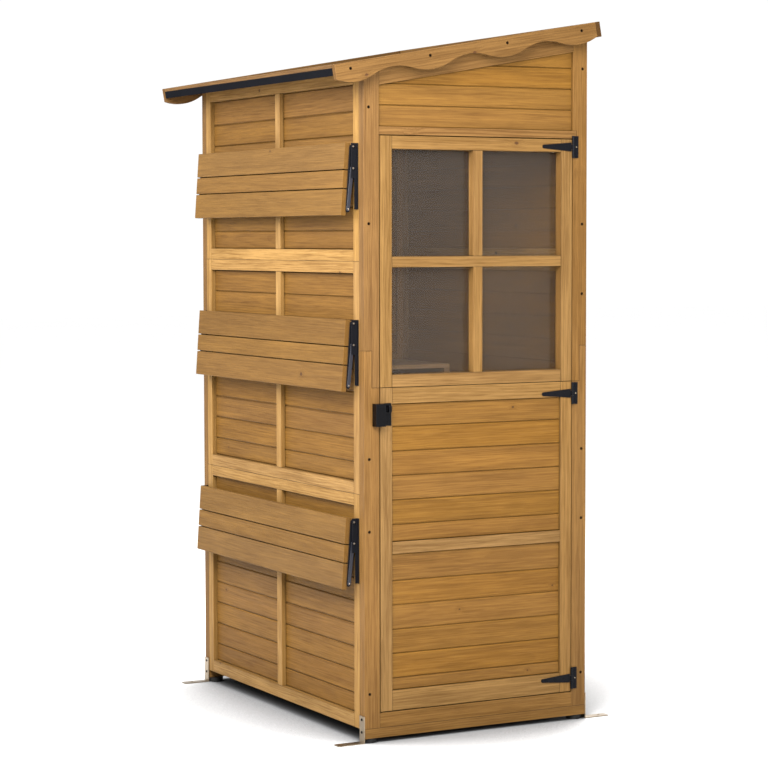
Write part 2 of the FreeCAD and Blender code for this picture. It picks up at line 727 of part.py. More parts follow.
# Latch: a case on the door that reaches over the post, a sliding bolt and a keeper on the post
def latch():
    case_left = DOOR_LEFT - LATCH_REACH
    case_right = DOOR_LEFT + LATCH_OVER_DOOR
    face = FRONT - LATCH_DEPTH
    z = (LATCH_BOTTOM, LATCH_BOTTOM + LATCH_HEIGHT)
    case = box((case_left, case_right), (face, FRONT - LATCH_POST_GAP), z)
    inside_x = (case_left + LATCH_WALL, case_right - LATCH_WALL)
    inside_z = (z[0] + LATCH_WALL, z[1] - LATCH_WALL)
    case = case.cut(box(inside_x, (face + LATCH_WALL, FRONT), inside_z))
    plate_x = (DOOR_LEFT + LATCH_POST_GAP, DOOR_LEFT + LATCH_POST_GAP + LATCH_PLATE_WIDTH)
    plate = box(plate_x, (FRONT - LATCH_PLATE_THICK, FRONT), z)
    case = case.fuse(plate)
    bar_back = FRONT - LATCH_PLATE_THICK - BOLT_CLEARANCE
    bar_y = (bar_back - BOLT_BAR_THICK, bar_back)
    bar_z = (BOLT_HEIGHT - BOLT_BAR_TALL / 2, BOLT_HEIGHT + BOLT_BAR_TALL / 2)
    slot_y = (bar_y[0] - BOLT_CLEARANCE, FRONT - LATCH_PLATE_THICK)
    slot_z = (bar_z[0] - BOLT_CLEARANCE, bar_z[1] + BOLT_CLEARANCE)
    case = case.cut(box((inside_x[1], case_right), slot_y, slot_z))
    save("latch_case", case.removeSplitter())
    bolt_left = DOOR_LEFT + BOLT_SETBACK
    knob_right = case_right + BOLT_TRAVEL + KNOB_WIDTH
    bolt = box((bolt_left, knob_right), bar_y, bar_z)
    knob_z = (BOLT_HEIGHT - KNOB_TALL / 2, BOLT_HEIGHT + KNOB_TALL / 2)
    knob = box((knob_right - KNOB_WIDTH, knob_right), (bar_y[1] - KNOB_DEPTH, bar_y[1]), knob_z)
    knob = knob.makeFillet(KNOB_ROUND, knob.Edges)
    bolt = bolt.fuse(knob).removeSplitter()
    save("latch_bolt", bolt)
    keeper_x = (LEFT + POST_WIDTH - KEEPER_EDGE - KEEPER_WIDTH, LEFT + POST_WIDTH - KEEPER_EDGE)
    reach = BOLT_BAR_TALL / 2 + KEEPER_CLEARANCE
    front_gap = bar_y[0] - KEEPER_CLEARANCE
    keeper_z = (BOLT_HEIGHT - reach - KEEPER_METAL, BOLT_HEIGHT + reach + KEEPER_METAL)
    keeper = box(keeper_x, (front_gap - KEEPER_METAL, FRONT), keeper_z)
    hollow = box(keeper_x, (front_gap, FRONT), (BOLT_HEIGHT - reach, BOLT_HEIGHT + reach))
    save("latch_keeper", keeper.cut(hollow))


# A flat metal bar with round ends, in the plane square to Y
def round_bar(start, stop, width, y):
    run = stop - start
    side = FreeCAD.Vector(run.z, 0, -run.x).normalize() * (width / 2)
    thickness = FreeCAD.Vector(0, y[1] - y[0], 0)
    base = FreeCAD.Vector(0, y[0], 0)
    corners = [start + side, stop + side, stop - side, start - side]
    bar = prism([base + corner for corner in corners], thickness)
    for end in (start, stop):
        bar = bar.fuse(cylinder(width / 2, base + end, ALONG_Y, y[1] - y[0]))
    return bar.removeSplitter()


# The three folding shelves: slats on two arms, struts, and brackets on the posts
def folding_shelves():
    arm_y = (SHELF_START - SHELF_TO_ARM - ARM_METAL, SHELF_START - SHELF_TO_ARM)
    strut_y = (arm_y[0] - BRACKET_GAP - ARM_METAL, arm_y[0] - BRACKET_GAP)
    web_y = (strut_y[0] - BRACKET_GAP - ARM_METAL, strut_y[0] - BRACKET_GAP)
    lean = math.radians(SHELF_LEAN)
    bore = RIVET_RADIUS + RIVET_CLEARANCE
    slat_length = SHELF_STOP - SHELF_START
    brackets = []
    for name, height in zip(SHELF_NAMES, SHELF_PIVOTS):
        pivot = FreeCAD.Vector(PIVOT_X, 0, height)
        outer = PIVOT_X - ARM_METAL - SLAT_THICK
        inner = PIVOT_X - ARM_METAL
        slats = []
        top = height + PIVOT_BELOW_TOP
        for width in SLAT_WIDTHS:
            slat = box((outer, inner), (SHELF_START, SHELF_STOP), (top - width, top))
            long_edges = [edge for edge in slat.Edges if math.isclose(edge.Length, slat_length)]
            slats.append(slat.makeFillet(SLAT_ROUND, long_edges))
            top -= width + SLAT_GAP
        shelf_low = top + SLAT_GAP
        arm_low = FreeCAD.Vector(PIVOT_X, 0, height - STRUT_REACH - ARM_END + ARM_WIDTH / 2)
        web = round_bar(pivot, arm_low, ARM_WIDTH, arm_y)
        flange_y = (arm_y[0], SHELF_START + ARM_FLANGE)
        flange = box((inner, inner + ARM_METAL), flange_y, (shelf_low + ARM_END, height))
        slot_high = FreeCAD.Vector(PIVOT_X, 0, height - slot_start())
        slot_low = FreeCAD.Vector(PIVOT_X, 0, height - STRUT_REACH)
        slot = round_bar(slot_high, slot_low, 2 * (RIVET_RADIUS + SLOT_CLEARANCE), arm_y)
        arm = web.cut(slot).fuse(flange)
        arm = arm.cut(cylinder(bore, pivot + ALONG_Y * arm_y[0], ALONG_Y, ARM_METAL)).removeSplitter()
        arms = [arm, mirror_y(arm, SHELF_MIDDLE)]
        for shape in slats + arms:
            shape.rotate(pivot, ALONG_Y, SHELF_LEAN)
        save(name + "_shelf_slats", *slats)
        save(name + "_shelf_arms", *arms)
        strut_pivot = FreeCAD.Vector(PIVOT_X, 0, height - STRUT_DROP)
        run = FreeCAD.Vector(-math.sin(lean), 0, -math.cos(lean)) * STRUT_REACH
        strut_end = pivot + run
        strut = round_bar(strut_pivot, strut_end, STRUT_WIDTH, strut_y)
        strut = strut.cut(cylinder(bore, strut_pivot + ALONG_Y * strut_y[0], ALONG_Y, ARM_METAL))
        head_start = strut_end + ALONG_Y * (strut_y[0] - RIVET_HEAD_HEIGHT)
        head = cylinder(RIVET_HEAD, head_start, ALONG_Y, RIVET_HEAD_HEIGHT)
        strut = strut.fuse(head).removeSplitter()
        save(name + "_shelf_struts", strut, mirror_y(strut, SHELF_MIDDLE))
        low_z = height - STRUT_REACH
        neck = height - STRUT_DROP - BRACKET_NECK
        x = (LEFT - BRACKET_WEB, LEFT)
        bracket = box(x, web_y, (neck, height + BRACKET_RISE))
        bracket = bracket.fuse(box((LEFT - BRACKET_NARROW, LEFT), web_y, (low_z, neck)))
        foot_y = (web_y[1] - BRACKET_FLANGE, web_y[1])
        bracket = bracket.fuse(box((LEFT - ARM_METAL, LEFT), foot_y, (low_z, height + BRACKET_RISE)))
        for place, far in ((pivot, arm_y[1]), (strut_pivot, strut_y[1])):
            start = place + ALONG_Y * (web_y[0] - RIVET_HEAD_HEIGHT)
            bracket = bracket.fuse(cylinder(RIVET_HEAD, start, ALONG_Y, RIVET_HEAD_HEIGHT))
            shank = place + ALONG_Y * web_y[0]
            bracket = bracket.fuse(cylinder(RIVET_RADIUS, shank, ALONG_Y, far - web_y[0]))
        bracket = bracket.removeSplitter()
        brackets += [bracket, mirror_y(bracket, SHELF_MIDDLE)]
    save("shelf_wall_brackets", *brackets)


# Where the strut's end lies along the arm when the shelf is level
def slot_start():
    lean = math.radians(SHELF_LEAN)
    across = STRUT_REACH * math.sin(lean)
    down = STRUT_REACH * math.cos(lean) - STRUT_DROP
    strut_length = math.hypot(across, down)
    return math.sqrt(strut_length**2 - STRUT_DROP**2)


def feet_and_anchors():
    foot_x = WIDTH / 2 - FOOT_SIDE_INSET
    foot_y = DEPTH / 2 - FOOT_END_INSET
    feet = []
    for x in (-foot_x, foot_x):
        for y in (-foot_y, foot_y):
            foot = cylinder(FOOT_RADIUS, FreeCAD.Vector(x, y, 0), UP, FOOT_HEIGHT)
            rounds = [edge for edge in foot.Edges if len(edge.Vertexes) == 1]
            rims = [edge for edge in rounds if edge.CenterOfMass.z < FOOT_HEIGHT / 2]
            feet.append(foot.makeFillet(FOOT_RIM_ROUND, rims))
    save("feet", *feet)
    strip_y = (FRONT, FRONT + ANCHOR_WIDTH)
    middle = FRONT + ANCHOR_WIDTH / 2
    upright_leg = box((LEFT - ANCHOR_THICK, LEFT), strip_y, (0, ANCHOR_RISE))
    ground_leg = box((LEFT - ANCHOR_LEG, LEFT), strip_y, (0, ANCHOR_THICK))
    anchor = upright_leg.fuse(ground_leg)
    for height in ANCHOR_SCREWS:
        start = FreeCAD.Vector(LEFT - ANCHOR_THICK, middle, height)
        anchor = anchor.cut(cylinder(ANCHOR_SCREW_HOLE, start, FreeCAD.Vector(1, 0, 0), ANCHOR_THICK))
    start = FreeCAD.Vector(LEFT - ANCHOR_HOLE_REACH, middle, 0)
    anchor = anchor.cut(cylinder(ANCHOR_HOLE, start, UP, ANCHOR_THICK)).removeSplitter()
    pair = [anchor, mirror_y(anchor)]
    save("ground_anchors", *pair, *[mirror_x(one) for one in pair])


def screws():
    solids = []
    for face, inward in ((FRONT, 1), (BACK, -1)):
        solids += [screw_at(x, z, face, inward) for x, z in LEFT_PLACES + RIGHT_PLACES]
    for face, inward in ((ROOF_FRONT - BARGEBOARD_THICK, 1), (ROOF_BACK + BARGEBOARD_THICK, -1)):
        solids += [screw_at(x, z, face, inward) for x, z in BARGE_PLACES]
    save("frame_screws", *solids)


os.makedirs("parts", exist_ok=True)
end_frames()
side_wall("left", -1)
side_wall("right", 1)
floor()
inner_shelf()
roof()
door()
hinges()
latch()
folding_shelves()
feet_and_anchors()
screws()
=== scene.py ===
"""Timber garden cabinet, dressed around its packed frame.

Every board, fitting and sheet stands where the frame holds it, in metres. The boards take their shape from the
frame, with eased edges, and carry their own grain coordinates, so that each one is cut from a log of its own.
"""

import json
import math
import random

import bmesh
import bpy
from bpy.props import FloatProperty, FloatVectorProperty, IntProperty, PointerProperty
from mathutils import Matrix, Vector
from mathutils.bvhtree import BVHTree


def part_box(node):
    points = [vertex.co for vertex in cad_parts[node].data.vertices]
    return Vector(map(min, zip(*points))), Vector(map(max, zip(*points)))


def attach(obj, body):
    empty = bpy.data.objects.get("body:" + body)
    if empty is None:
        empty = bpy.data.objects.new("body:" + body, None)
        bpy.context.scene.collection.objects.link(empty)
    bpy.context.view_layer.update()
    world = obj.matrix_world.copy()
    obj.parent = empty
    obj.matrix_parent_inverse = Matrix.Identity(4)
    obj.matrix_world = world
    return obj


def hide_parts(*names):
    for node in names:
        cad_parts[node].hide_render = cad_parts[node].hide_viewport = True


bl_info = {
    "name": "Garden Cabinet",
    "version": (1, 0, 0),
    "blender": (4, 5, 0),
    "location": "3D View > Sidebar > Cabinet",
    "description": "Dresses a timber garden cabinet and sets up its studio",
    "category": "Object",
}

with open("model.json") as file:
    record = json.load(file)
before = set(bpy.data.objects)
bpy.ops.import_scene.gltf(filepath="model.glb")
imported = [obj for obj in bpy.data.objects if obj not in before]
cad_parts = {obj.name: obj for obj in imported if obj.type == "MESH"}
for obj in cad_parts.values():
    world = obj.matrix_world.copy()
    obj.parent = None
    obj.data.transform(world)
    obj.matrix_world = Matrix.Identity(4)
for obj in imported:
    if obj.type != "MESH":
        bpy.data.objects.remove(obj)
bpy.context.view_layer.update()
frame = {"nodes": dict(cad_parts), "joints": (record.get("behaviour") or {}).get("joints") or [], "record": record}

MM = 0.001
WELD = 100000
GRAIN = "grain"
TIMBER_SEED = 41
ROOF_PITCH = math.radians(10)
ROOF_NORMAL = Vector((-math.sin(ROOF_PITCH), 0, math.cos(ROOF_PITCH)))
ROOF_ALONG = Vector((math.cos(ROOF_PITCH), 0, math.sin(ROOF_PITCH)))
JOINT_REACH = 1.5 * MM
HOLE_FACE = 30 * MM * MM
HOLE_REACH = 4.3 * MM


def colour(name, text, default):
    """A linear colour that a user can change."""
    return FloatVectorProperty(
        name=name, description=text, default=default, min=0.0, max=1.0, size=3, subtype="COLOR"
    )


def length(name, text, default):
    """A length in metres that a user can change."""
    return FloatProperty(name=name, description=text, default=default, min=0.0, precision=4, unit="LENGTH")


class TimberSettings(bpy.types.PropertyGroup):
    """Stain, grain and edges of the fir boards."""

    post_colour: colour("Post stain", "Stain on posts and rails", (0.11, 0.0545, 0.0136))
    door_colour: colour("Door stain", "Stain on the door's frames and glazing bars", (0.13, 0.0695, 0.0202))
    roof_colour: colour("Roof stain", "Stain on the bargeboards, the fascia and the eave", (0.095, 0.047, 0.0123))
    board_colour: colour("Board stain", "Stain on the boards between the frames", (0.113, 0.0525, 0.0084))
    wall_colour: colour("Wall frame stain", "Stain on the frames of the side walls", (0.2, 0.11, 0.032))
    slat_colour: colour("Slat stain", "Stain on the folding shelves", (0.099, 0.0485, 0.0099))
    inner_colour: colour("Inner timber", "Timber of the floor, the joists and the roof deck", (0.2, 0.115, 0.05))
    knot_colour: colour("Knots", "Heart of the knots", (0.035, 0.013, 0.004))
    ring_width: length("Ring width", "Distance between two growth rings", 4.0 * MM)
    edge_round: length("Edge rounding", "Rounding of the sawn edges", 1.0 * MM)
    board_play: length("Board play", "How far a board may lie in front of or behind its neighbours", 0.5 * MM)


class FittingSettings(bpy.types.PropertyGroup):
    """Painted and plated metal."""

    paint_colour: colour("Black paint", "Coat on hinges, latch and brackets", (0.0025, 0.0026, 0.0036))
    zinc_colour: colour("Zinc", "Plating of the ground anchors and rivets", (0.3, 0.24, 0.17))
    # Near-black screw heads: partly their own dark finish, partly painted shade of the holes they sit in.
    screw_colour: colour("Wood screws", "Heads at the bottom of their holes", (0.003, 0.0025, 0.002))
    metal_round: length("Metal rounding", "Rounding of the metal edges", 0.45 * MM)
    screw_radius: length("Screw head", "Radius of the heads that hold the fittings", 2.9 * MM)
    rivet_colour: colour("Dull rivets", "Rivets in the wall brackets", (0.1, 0.08, 0.06))
    rivet_radius: length("Rivet head", "Radius of the rivets in the shelf brackets", 2.7 * MM)


class RoofSettings(bpy.types.PropertyGroup):
    """The black sheet on the roof and its tacks."""

    felt_colour: colour("Roof sheet", "Bitumen sheet over the deck", (0.0022, 0.0023, 0.0033))
    tack_spacing: length("Tack spacing", "Distance between the tacks along the edges", 120 * MM)
    tack_radius: length("Tack head", "Radius of the tack heads", 4.5 * MM)
    tack_inset: length("Tack inset", "Distance of the tacks from the edge", 14 * MM)


class GlazingSettings(bpy.types.PropertyGroup):
    """The clear sheet behind the glazing bars."""

    pane_colour: colour("Pane tint", "Haze of the clear sheet", (0.072, 0.0565, 0.0445))
    pane_screws: IntProperty(
        name="Pane screws", description="Screws along each edge of the sheet", default=4, min=2, max=12
    )


class StageSettings(bpy.types.PropertyGroup):
    """Floor, lamps and camera."""

    floor_colour: colour("Floor", "Plain pale floor", (0.97, 0.97, 0.97))
    # Painted shadow: the colour the floor takes under and beside the cabinet, and how far it reaches.
    painted_shadow_colour: colour("Floor under the cabinet", "Where the floor sees no sky", (0.03, 0.03, 0.032))
    painted_shadow_reach: length("Floor shade", "How far the shade reaches from the cabinet", 0.9)
    floor_size: length("Floor size", "Side of the square floor", 60.0)
    sky_strength: FloatProperty(name="Sky", description="Strength of the even light", default=1.03, min=0.0)
    key_power: FloatProperty(name="Key light", description="Soft lamp at the upper left", default=205.0, unit="POWER")
    fill_power: FloatProperty(name="Fill light", description="Soft lamp at the front", default=90.0, unit="POWER")
    side_power: FloatProperty(name="Side light", description="Soft lamp at the left", default=116.0, unit="POWER")
    back_power: FloatProperty(name="Back light", description="Soft lamp behind", default=150.0, unit="POWER")
    camera_place: FloatVectorProperty(
        name="Camera place", description="Where the camera stands", default=(-3.0669, -5.6517, 1.2715),
        size=3, subtype="TRANSLATION", unit="LENGTH"
    )
    camera_turn: FloatProperty(
        name="Camera turn", description="Turn from straight ahead to the right",
        default=math.radians(28.418), subtype="ANGLE"
    )
    camera_tilt: FloatProperty(
        name="Camera tilt", description="Tilt below the horizon", default=math.radians(3.551), subtype="ANGLE"
    )
    camera_roll: FloatProperty(
        name="Camera roll", description="Turn about the camera's own axis", default=math.radians(-0.0997), subtype="ANGLE"
    )
    camera_lens: FloatProperty(
        name="Lens", description="Focal length for a 36 mm wide picture", default=109.97, min=1.0,
        subtype="DISTANCE_CAMERA"
    )


# Node trees

def put(tree, kind, inputs=None, **settings):
    """Adds a node, sets it up and links or fills its inputs."""
    node = tree.nodes.new(kind)
    for name, value in settings.items():
        setattr(node, name, value)
    for key, value in (inputs or {}).items():
        if isinstance(value, bpy.types.NodeSocket):
            tree.links.new(value, node.inputs[key])
        else:
            node.inputs[key].default_value = value
    return node


def maths(tree, operation, *values):
    """One Math node's result."""
    return put(tree, "ShaderNodeMath", dict(enumerate(values)), operation=operation).outputs[0]


def mixed(tree, share, first, second, blend="MIX"):
    """One colour mixed into another."""
    node = put(tree, "ShaderNodeMix", data_type="RGBA", blend_type=blend, clamp_factor=True)
    for key, value in ((0, share), (6, first), (7, second)):
        if isinstance(value, bpy.types.NodeSocket):
            tree.links.new(value, node.inputs[key])
        else:
            node.inputs[key].default_value = value
    return node.outputs[2]


def spread(tree, value, low, high, new_low=0.0, new_high=1.0):
    """A value's range stretched to another, smoothly and within its ends."""
    node = put(
        tree, "ShaderNodeMapRange",
        {"Value": value, "From Min": low, "From Max": high, "To Min": new_low, "To Max": new_high},
        interpolation_type="SMOOTHSTEP",
    )
    return node.outputs["Result"]


def scaled(tree, vector, scale):
    """A vector times a scale of three numbers."""
    node = put(tree, "ShaderNodeVectorMath", {0: vector, 1: scale}, operation="MULTIPLY")
    return node.outputs[0]


def noise(tree, vector, scale, detail=2.0, roughness=0.5):
    """Soft noise along a vector."""
    node = put(
        tree, "ShaderNodeTexNoise",
        {"Vector": vector, "Scale": scale, "Detail": detail, "Roughness": roughness},
    )
    return node.outputs[0]


def group(name, inputs, outputs, write):
    """A shader node group, built once, with its sockets named."""
    if name in bpy.data.node_groups:
        return bpy.data.node_groups[name]
    tree = bpy.data.node_groups.new(name, "ShaderNodeTree")
    for key, (kind, default) in inputs.items():
        socket = tree.interface.new_socket(key, in_out="INPUT", socket_type=kind)
        if default is not None:
            socket.default_value = default
    for key, kind in outputs.items():
        tree.interface.new_socket(key, in_out="OUTPUT", socket_type=kind)
    entry = tree.nodes.new("NodeGroupInput")
    results = write(tree, entry.outputs)
    end = tree.nodes.new("NodeGroupOutput")
    for key, value in results.items():
        tree.links.new(value, end.inputs[key])
    return tree


def placed(tree, name, inputs):
    """A group placed in a material, with its own values."""
    node = put(tree, "ShaderNodeGroup", node_tree=name)
    for key, value in inputs.items():
        if isinstance(value, bpy.types.NodeSocket):
            tree.links.new(value, node.inputs[key])
        else:
            node.inputs[key].default_value = value
    return node.outputs


FLOAT, VECTOR, RGBA = "NodeSocketFloat", "NodeSocketVector", "NodeSocketColor"


def knots_group():
    """Knots: branches that run out from the pith, sparse and oval, with a ring of bent grain."""

    def write(tree, given):
        cell = scaled(tree, given["Grain"], (3.1, 11.0, 0.0))
        cells = put(
            tree, "ShaderNodeTexVoronoi", {"Vector": cell, "Scale": 1.0, "Randomness": 0.85}, voronoi_dimensions="3D"
        )
        away = put(tree, "ShaderNodeVectorMath", {0: cell, 1: cells.outputs["Position"]}, operation="SUBTRACT")
        metric = scaled(tree, away.outputs[0], (1 / 3.1 * 0.72, 1 / 11.0, 0.0))
        distance = put(tree, "ShaderNodeVectorMath", {0: metric}, operation="LENGTH").outputs["Value"]
        chance = put(tree, "ShaderNodeSeparateColor", {"Color": cells.outputs["Color"]}).outputs
        present = maths(tree, "LESS_THAN", chance[0], given["Amount"])
        size = maths(tree, "MULTIPLY_ADD", chance[1], 0.0042, 0.0014)
        ragged = noise(tree, given["Grain"], 260.0, 2.0)
        size = maths(tree, "MULTIPLY", size, maths(tree, "MULTIPLY_ADD", ragged, 0.7, 0.65))
        near = maths(tree, "DIVIDE", distance, size)
        core = maths(tree, "MULTIPLY", spread(tree, near, 1.25, 0.75), present)
        halo = maths(tree, "MULTIPLY", spread(tree, near, 4.5, 1.0), present)
        pull = maths(tree, "MULTIPLY", maths(tree, "MULTIPLY", spread(tree, near, 7.0, 0.5), present), size)
        return {"Core": core, "Halo": halo, "Pull": pull}

    return group(
        "Knots",
        {"Grain": (VECTOR, None), "Amount": (FLOAT, 0.3)},
        {"Core": FLOAT, "Halo": FLOAT, "Pull": FLOAT},
        write,
    )


def grain_group():
    """Growth rings around the pith, with the fibres and pores that run along the board."""

    def write(tree, given):
        grain = given["Grain"]
        axes = put(tree, "ShaderNodeSeparateXYZ", {0: grain}).outputs
        drift = noise(tree, scaled(tree, grain, (1.5, 7.0, 7.0)), 1.0, 2.0)
        sway = noise(tree, scaled(tree, grain, (9.0, 60.0, 60.0)), 1.0, 2.0)
        radius = maths(tree, "SQRT", maths(tree, "ADD", maths(tree, "POWER", axes[1], 2.0),
                                           maths(tree, "POWER", axes[2], 2.0)))
        radius = maths(tree, "MULTIPLY_ADD", drift, 0.026, radius)
        radius = maths(tree, "MULTIPLY_ADD", sway, 0.0022, radius)
        radius = maths(tree, "MULTIPLY_ADD", given["Pull"], 1.6, radius)
        turn = maths(tree, "FRACT", maths(tree, "DIVIDE", radius, given["Ring Width"]))
        late = maths(tree, "MULTIPLY", spread(tree, turn, 0.25, 0.85), spread(tree, turn, 1.0, 0.93))
        fibre = noise(tree, scaled(tree, grain, (10.0, 300.0, 300.0)), 1.0, 3.0, 0.65)
        # Glint: thin pale streaks along the grain, a painted glint.
        glint = spread(tree, noise(tree, scaled(tree, grain, (8.0, 380.0, 380.0)), 1.0, 1.0), 0.6, 0.72)
        streak = noise(tree, scaled(tree, grain, (1.7, 75.0, 75.0)), 1.0, 4.0, 0.65)
        blotch = noise(tree, scaled(tree, grain, (4.5, 16.0, 16.0)), 1.0, 3.0, 0.55)
        pore = spread(tree, noise(tree, scaled(tree, grain, (22.0, 1100.0, 1100.0)), 1.0, 1.0), 0.62, 0.72)
        height = maths(tree, "MULTIPLY_ADD", late, 0.5, fibre)
        height = maths(tree, "MULTIPLY_ADD", pore, -0.8, height)
        return {
            "Late Wood": late, "Fibre": fibre, "Glint": glint, "Streak": streak, "Blotch": blotch, "Pores": pore,
            "Height": height,
        }

    return group(
        "Grain",
        {"Grain": (VECTOR, None), "Pull": (FLOAT, 0.0), "Ring Width": (FLOAT, 0.0034)},
        dict.fromkeys(("Late Wood", "Fibre", "Glint", "Streak", "Blotch", "Pores", "Height"), FLOAT),
        write,
    )


def painted_corner_shade_group():
    """Painted shade in inner corners: darker where a point sees little open sky nearby, as a patchy mask from 0 to 1.
    """

    def write(tree, given):
        open_sky = put(
            tree, "ShaderNodeAmbientOcclusion", {"Distance": given["Reach"]}, samples=4, only_local=False
        ).outputs["AO"]
        patchy = noise(tree, given["Place"], 34.0, 3.0)
        hidden = spread(tree, open_sky, 0.75, 0.15)
        return {"Corner": maths(tree, "MULTIPLY", hidden, maths(tree, "MULTIPLY_ADD", patchy, 0.5, 0.75))}

    return group("Painted Corner Shade", {"Place": (VECTOR, None), "Reach": (FLOAT, 0.02)}, {"Corner": FLOAT}, write)


def wear_group():
    """Small uneven marks on metal: a mask of rubbed spots and a soft unevenness for the gloss."""

    def write(tree, given):
        place = put(tree, "ShaderNodeAttribute", attribute_name=GRAIN).outputs["Vector"]
        spots = spread(tree, noise(tree, place, 900.0, 3.0, 0.6), 0.55, 0.75)
        clouds = noise(tree, place, 90.0, 4.0, 0.6)
        edge = put(tree, "ShaderNodeAttribute", attribute_name="arris").outputs["Fac"]
        rubbed = maths(tree, "MULTIPLY", maths(tree, "MULTIPLY_ADD", spots, 0.8, edge), given["Amount"])
        return {"Rubbed": rubbed, "Clouds": clouds, "Peel": noise(tree, place, 1500.0, 2.0)}

    return group("Metal Wear", {"Amount": (FLOAT, 0.2)}, {"Rubbed": FLOAT, "Clouds": FLOAT, "Peel": FLOAT}, write)


# Materials

def new_material(name):
    """An empty material with a shader and its output."""
    material = bpy.data.materials.new(name)
    material.use_nodes = True
    tree = material.node_tree
    tree.nodes.clear()
    shader = put(tree, "ShaderNodeBsdfPrincipled")
    output = put(tree, "ShaderNodeOutputMaterial")
    tree.links.new(shader.outputs[0], output.inputs[0])
    return material, tree, shader


def timber(name, stain, knots, contrast, joint_dark_and_corner_shade=0.65, figure=0.2, rings_apart=1.0):
    """Stained fir: rings, streaks and knots under a thin satin stain, darker on cut ends and along joints, with
    painted shade in inner corners, on the narrow sides of framed members and in screw holes, and painted highlights on
    free edges and in thin glint streaks.
    """
    settings = bpy.context.scene.cabinet_timber
    if name in bpy.data.materials:
        return bpy.data.materials[name]
    material, tree, shader = new_material(name)
    grain = put(tree, "ShaderNodeAttribute", attribute_name=GRAIN).outputs["Vector"]
    tone = put(tree, "ShaderNodeAttribute", attribute_name="tone").outputs["Color"]
    tone = put(tree, "ShaderNodeSeparateColor", {"Color": tone}).outputs
    cut = put(tree, "ShaderNodeAttribute", attribute_name="cut_end").outputs["Fac"]
    # Painted shade on the narrow sides of framed members, where the recess reveals lie.
    side = put(tree, "ShaderNodeAttribute", attribute_name="rough_side").outputs["Fac"]
    arris = put(tree, "ShaderNodeAttribute", attribute_name="arris").outputs["Fac"]
    knot = placed(tree, knots_group(), {"Grain": grain, "Amount": knots})
    width = settings.ring_width * rings_apart
    rings = placed(tree, grain_group(), {"Grain": grain, "Pull": knot["Pull"], "Ring Width": width})
    joint = maths(tree, "MULTIPLY", arris, spread(tree, rings["Streak"], 0.3, 0.65, -0.4 * joint_dark_and_corner_shade, -1.1 * joint_dark_and_corner_shade))
    corner_shade = placed(tree, painted_corner_shade_group(), {"Place": grain, "Reach": 0.016})
    base = Vector(stain)
    light = (*[min(1.0, c * k) for c, k in zip(base, (1.28, 1.3, 1.34))], 1.0)
    dark = (*[c * k for c, k in zip(base, (0.62, 0.56, 0.42))], 1.0)
    bright = (*[min(1.0, c * k) for c, k in zip(base, (1.6, 1.7, 2.1))], 1.0)
    plain = (*base, 1.0)
    depth = maths(tree, "MULTIPLY_ADD", rings["Late Wood"], figure * contrast, 0.0)
    depth = maths(tree, "ADD", depth, spread(tree, rings["Streak"], 0.4, 0.75, 0.0, 0.3 * contrast))
    depth = maths(tree, "ADD", depth, spread(tree, rings["Fibre"], 0.38, 0.72, -0.1 * contrast, 0.32 * contrast))
    depth = maths(tree, "ADD", depth, spread(tree, rings["Blotch"], 0.45, 0.75, 0.0, 0.22 * contrast))
    paint = mixed(tree, spread(tree, rings["Streak"], 0.55, 0.25, 0.0, 0.75), plain, light)
    paint = mixed(tree, spread(tree, rings["Blotch"], 0.5, 0.28, 0.0, 0.6), paint, light)
    paint = mixed(tree, depth, paint, dark)
    board = put(
        tree, "ShaderNodeHueSaturation",
        {
            "Hue": maths(tree, "MULTIPLY_ADD", tone[1], 0.002, 0.499),
            "Saturation": maths(tree, "MULTIPLY_ADD", tone[2], 0.04, 0.98),
            "Value": maths(tree, "MULTIPLY_ADD", tone[0], 0.12, 0.94),
            "Color": paint,
        },
    ).outputs[0]
    board = mixed(tree, maths(tree, "MULTIPLY", knot["Halo"], 0.35), board, dark)
    board = mixed(tree, maths(tree, "MULTIPLY", knot["Core"], 0.88), board, (*settings.knot_colour, 1.0))
    # Painted glint: thin pale streaks mixed in towards the bright colour.
    board = mixed(tree, maths(tree, "MULTIPLY", rings["Glint"], 0.3), board, bright)
    board = mixed(tree, maths(tree, "MULTIPLY", rings["Pores"], 0.3), board, dark)
    # Painted highlight: free rounded edges are lightened as if they caught the light; edges against another solid are
    # not.
    board = mixed(tree, maths(tree, "MULTIPLY", arris, 0.2), board, light)
    board = mixed(tree, maths(tree, "MULTIPLY", cut, 0.55), board, dark)
    # Painted shade: the narrow sides of framed members are darkened towards the dark colour.
    board = mixed(tree, maths(tree, "MULTIPLY", side, 0.6), board, dark)
    shade = (*[c * 0.4 for c in dark[:3]], 1.0)
    # Cut values above 1 mix towards the shade colour: painted shade on screw hole walls, deeper stain on the fascia's
    # soaked end.
    board = mixed(tree, maths(tree, "SUBTRACT", cut, 1.0), board, shade)
    board = mixed(tree, joint, board, shade)
    # Painted corner shade: inner corners are mixed towards the shade colour, scaled with the joint darkness.
    board = mixed(tree, maths(tree, "MULTIPLY", corner_shade["Corner"], 0.55 * joint_dark_and_corner_shade), board, shade)
    rough = maths(tree, "MULTIPLY_ADD", rings["Fibre"], 0.22, 0.5)
    rough = maths(tree, "MULTIPLY_ADD", cut, 0.2, rough)
    bump = put(tree, "ShaderNodeBump", {"Strength": 0.35, "Distance": 0.0006, "Height": rings["Height"]})
    tree.links.new(board, shader.inputs["Base Color"])
    tree.links.new(rough, shader.inputs["Roughness"])
    tree.links.new(bump.outputs[0], shader.inputs["Normal"])
    shader.inputs["Specular IOR Level"].default_value = 0.12
    return material


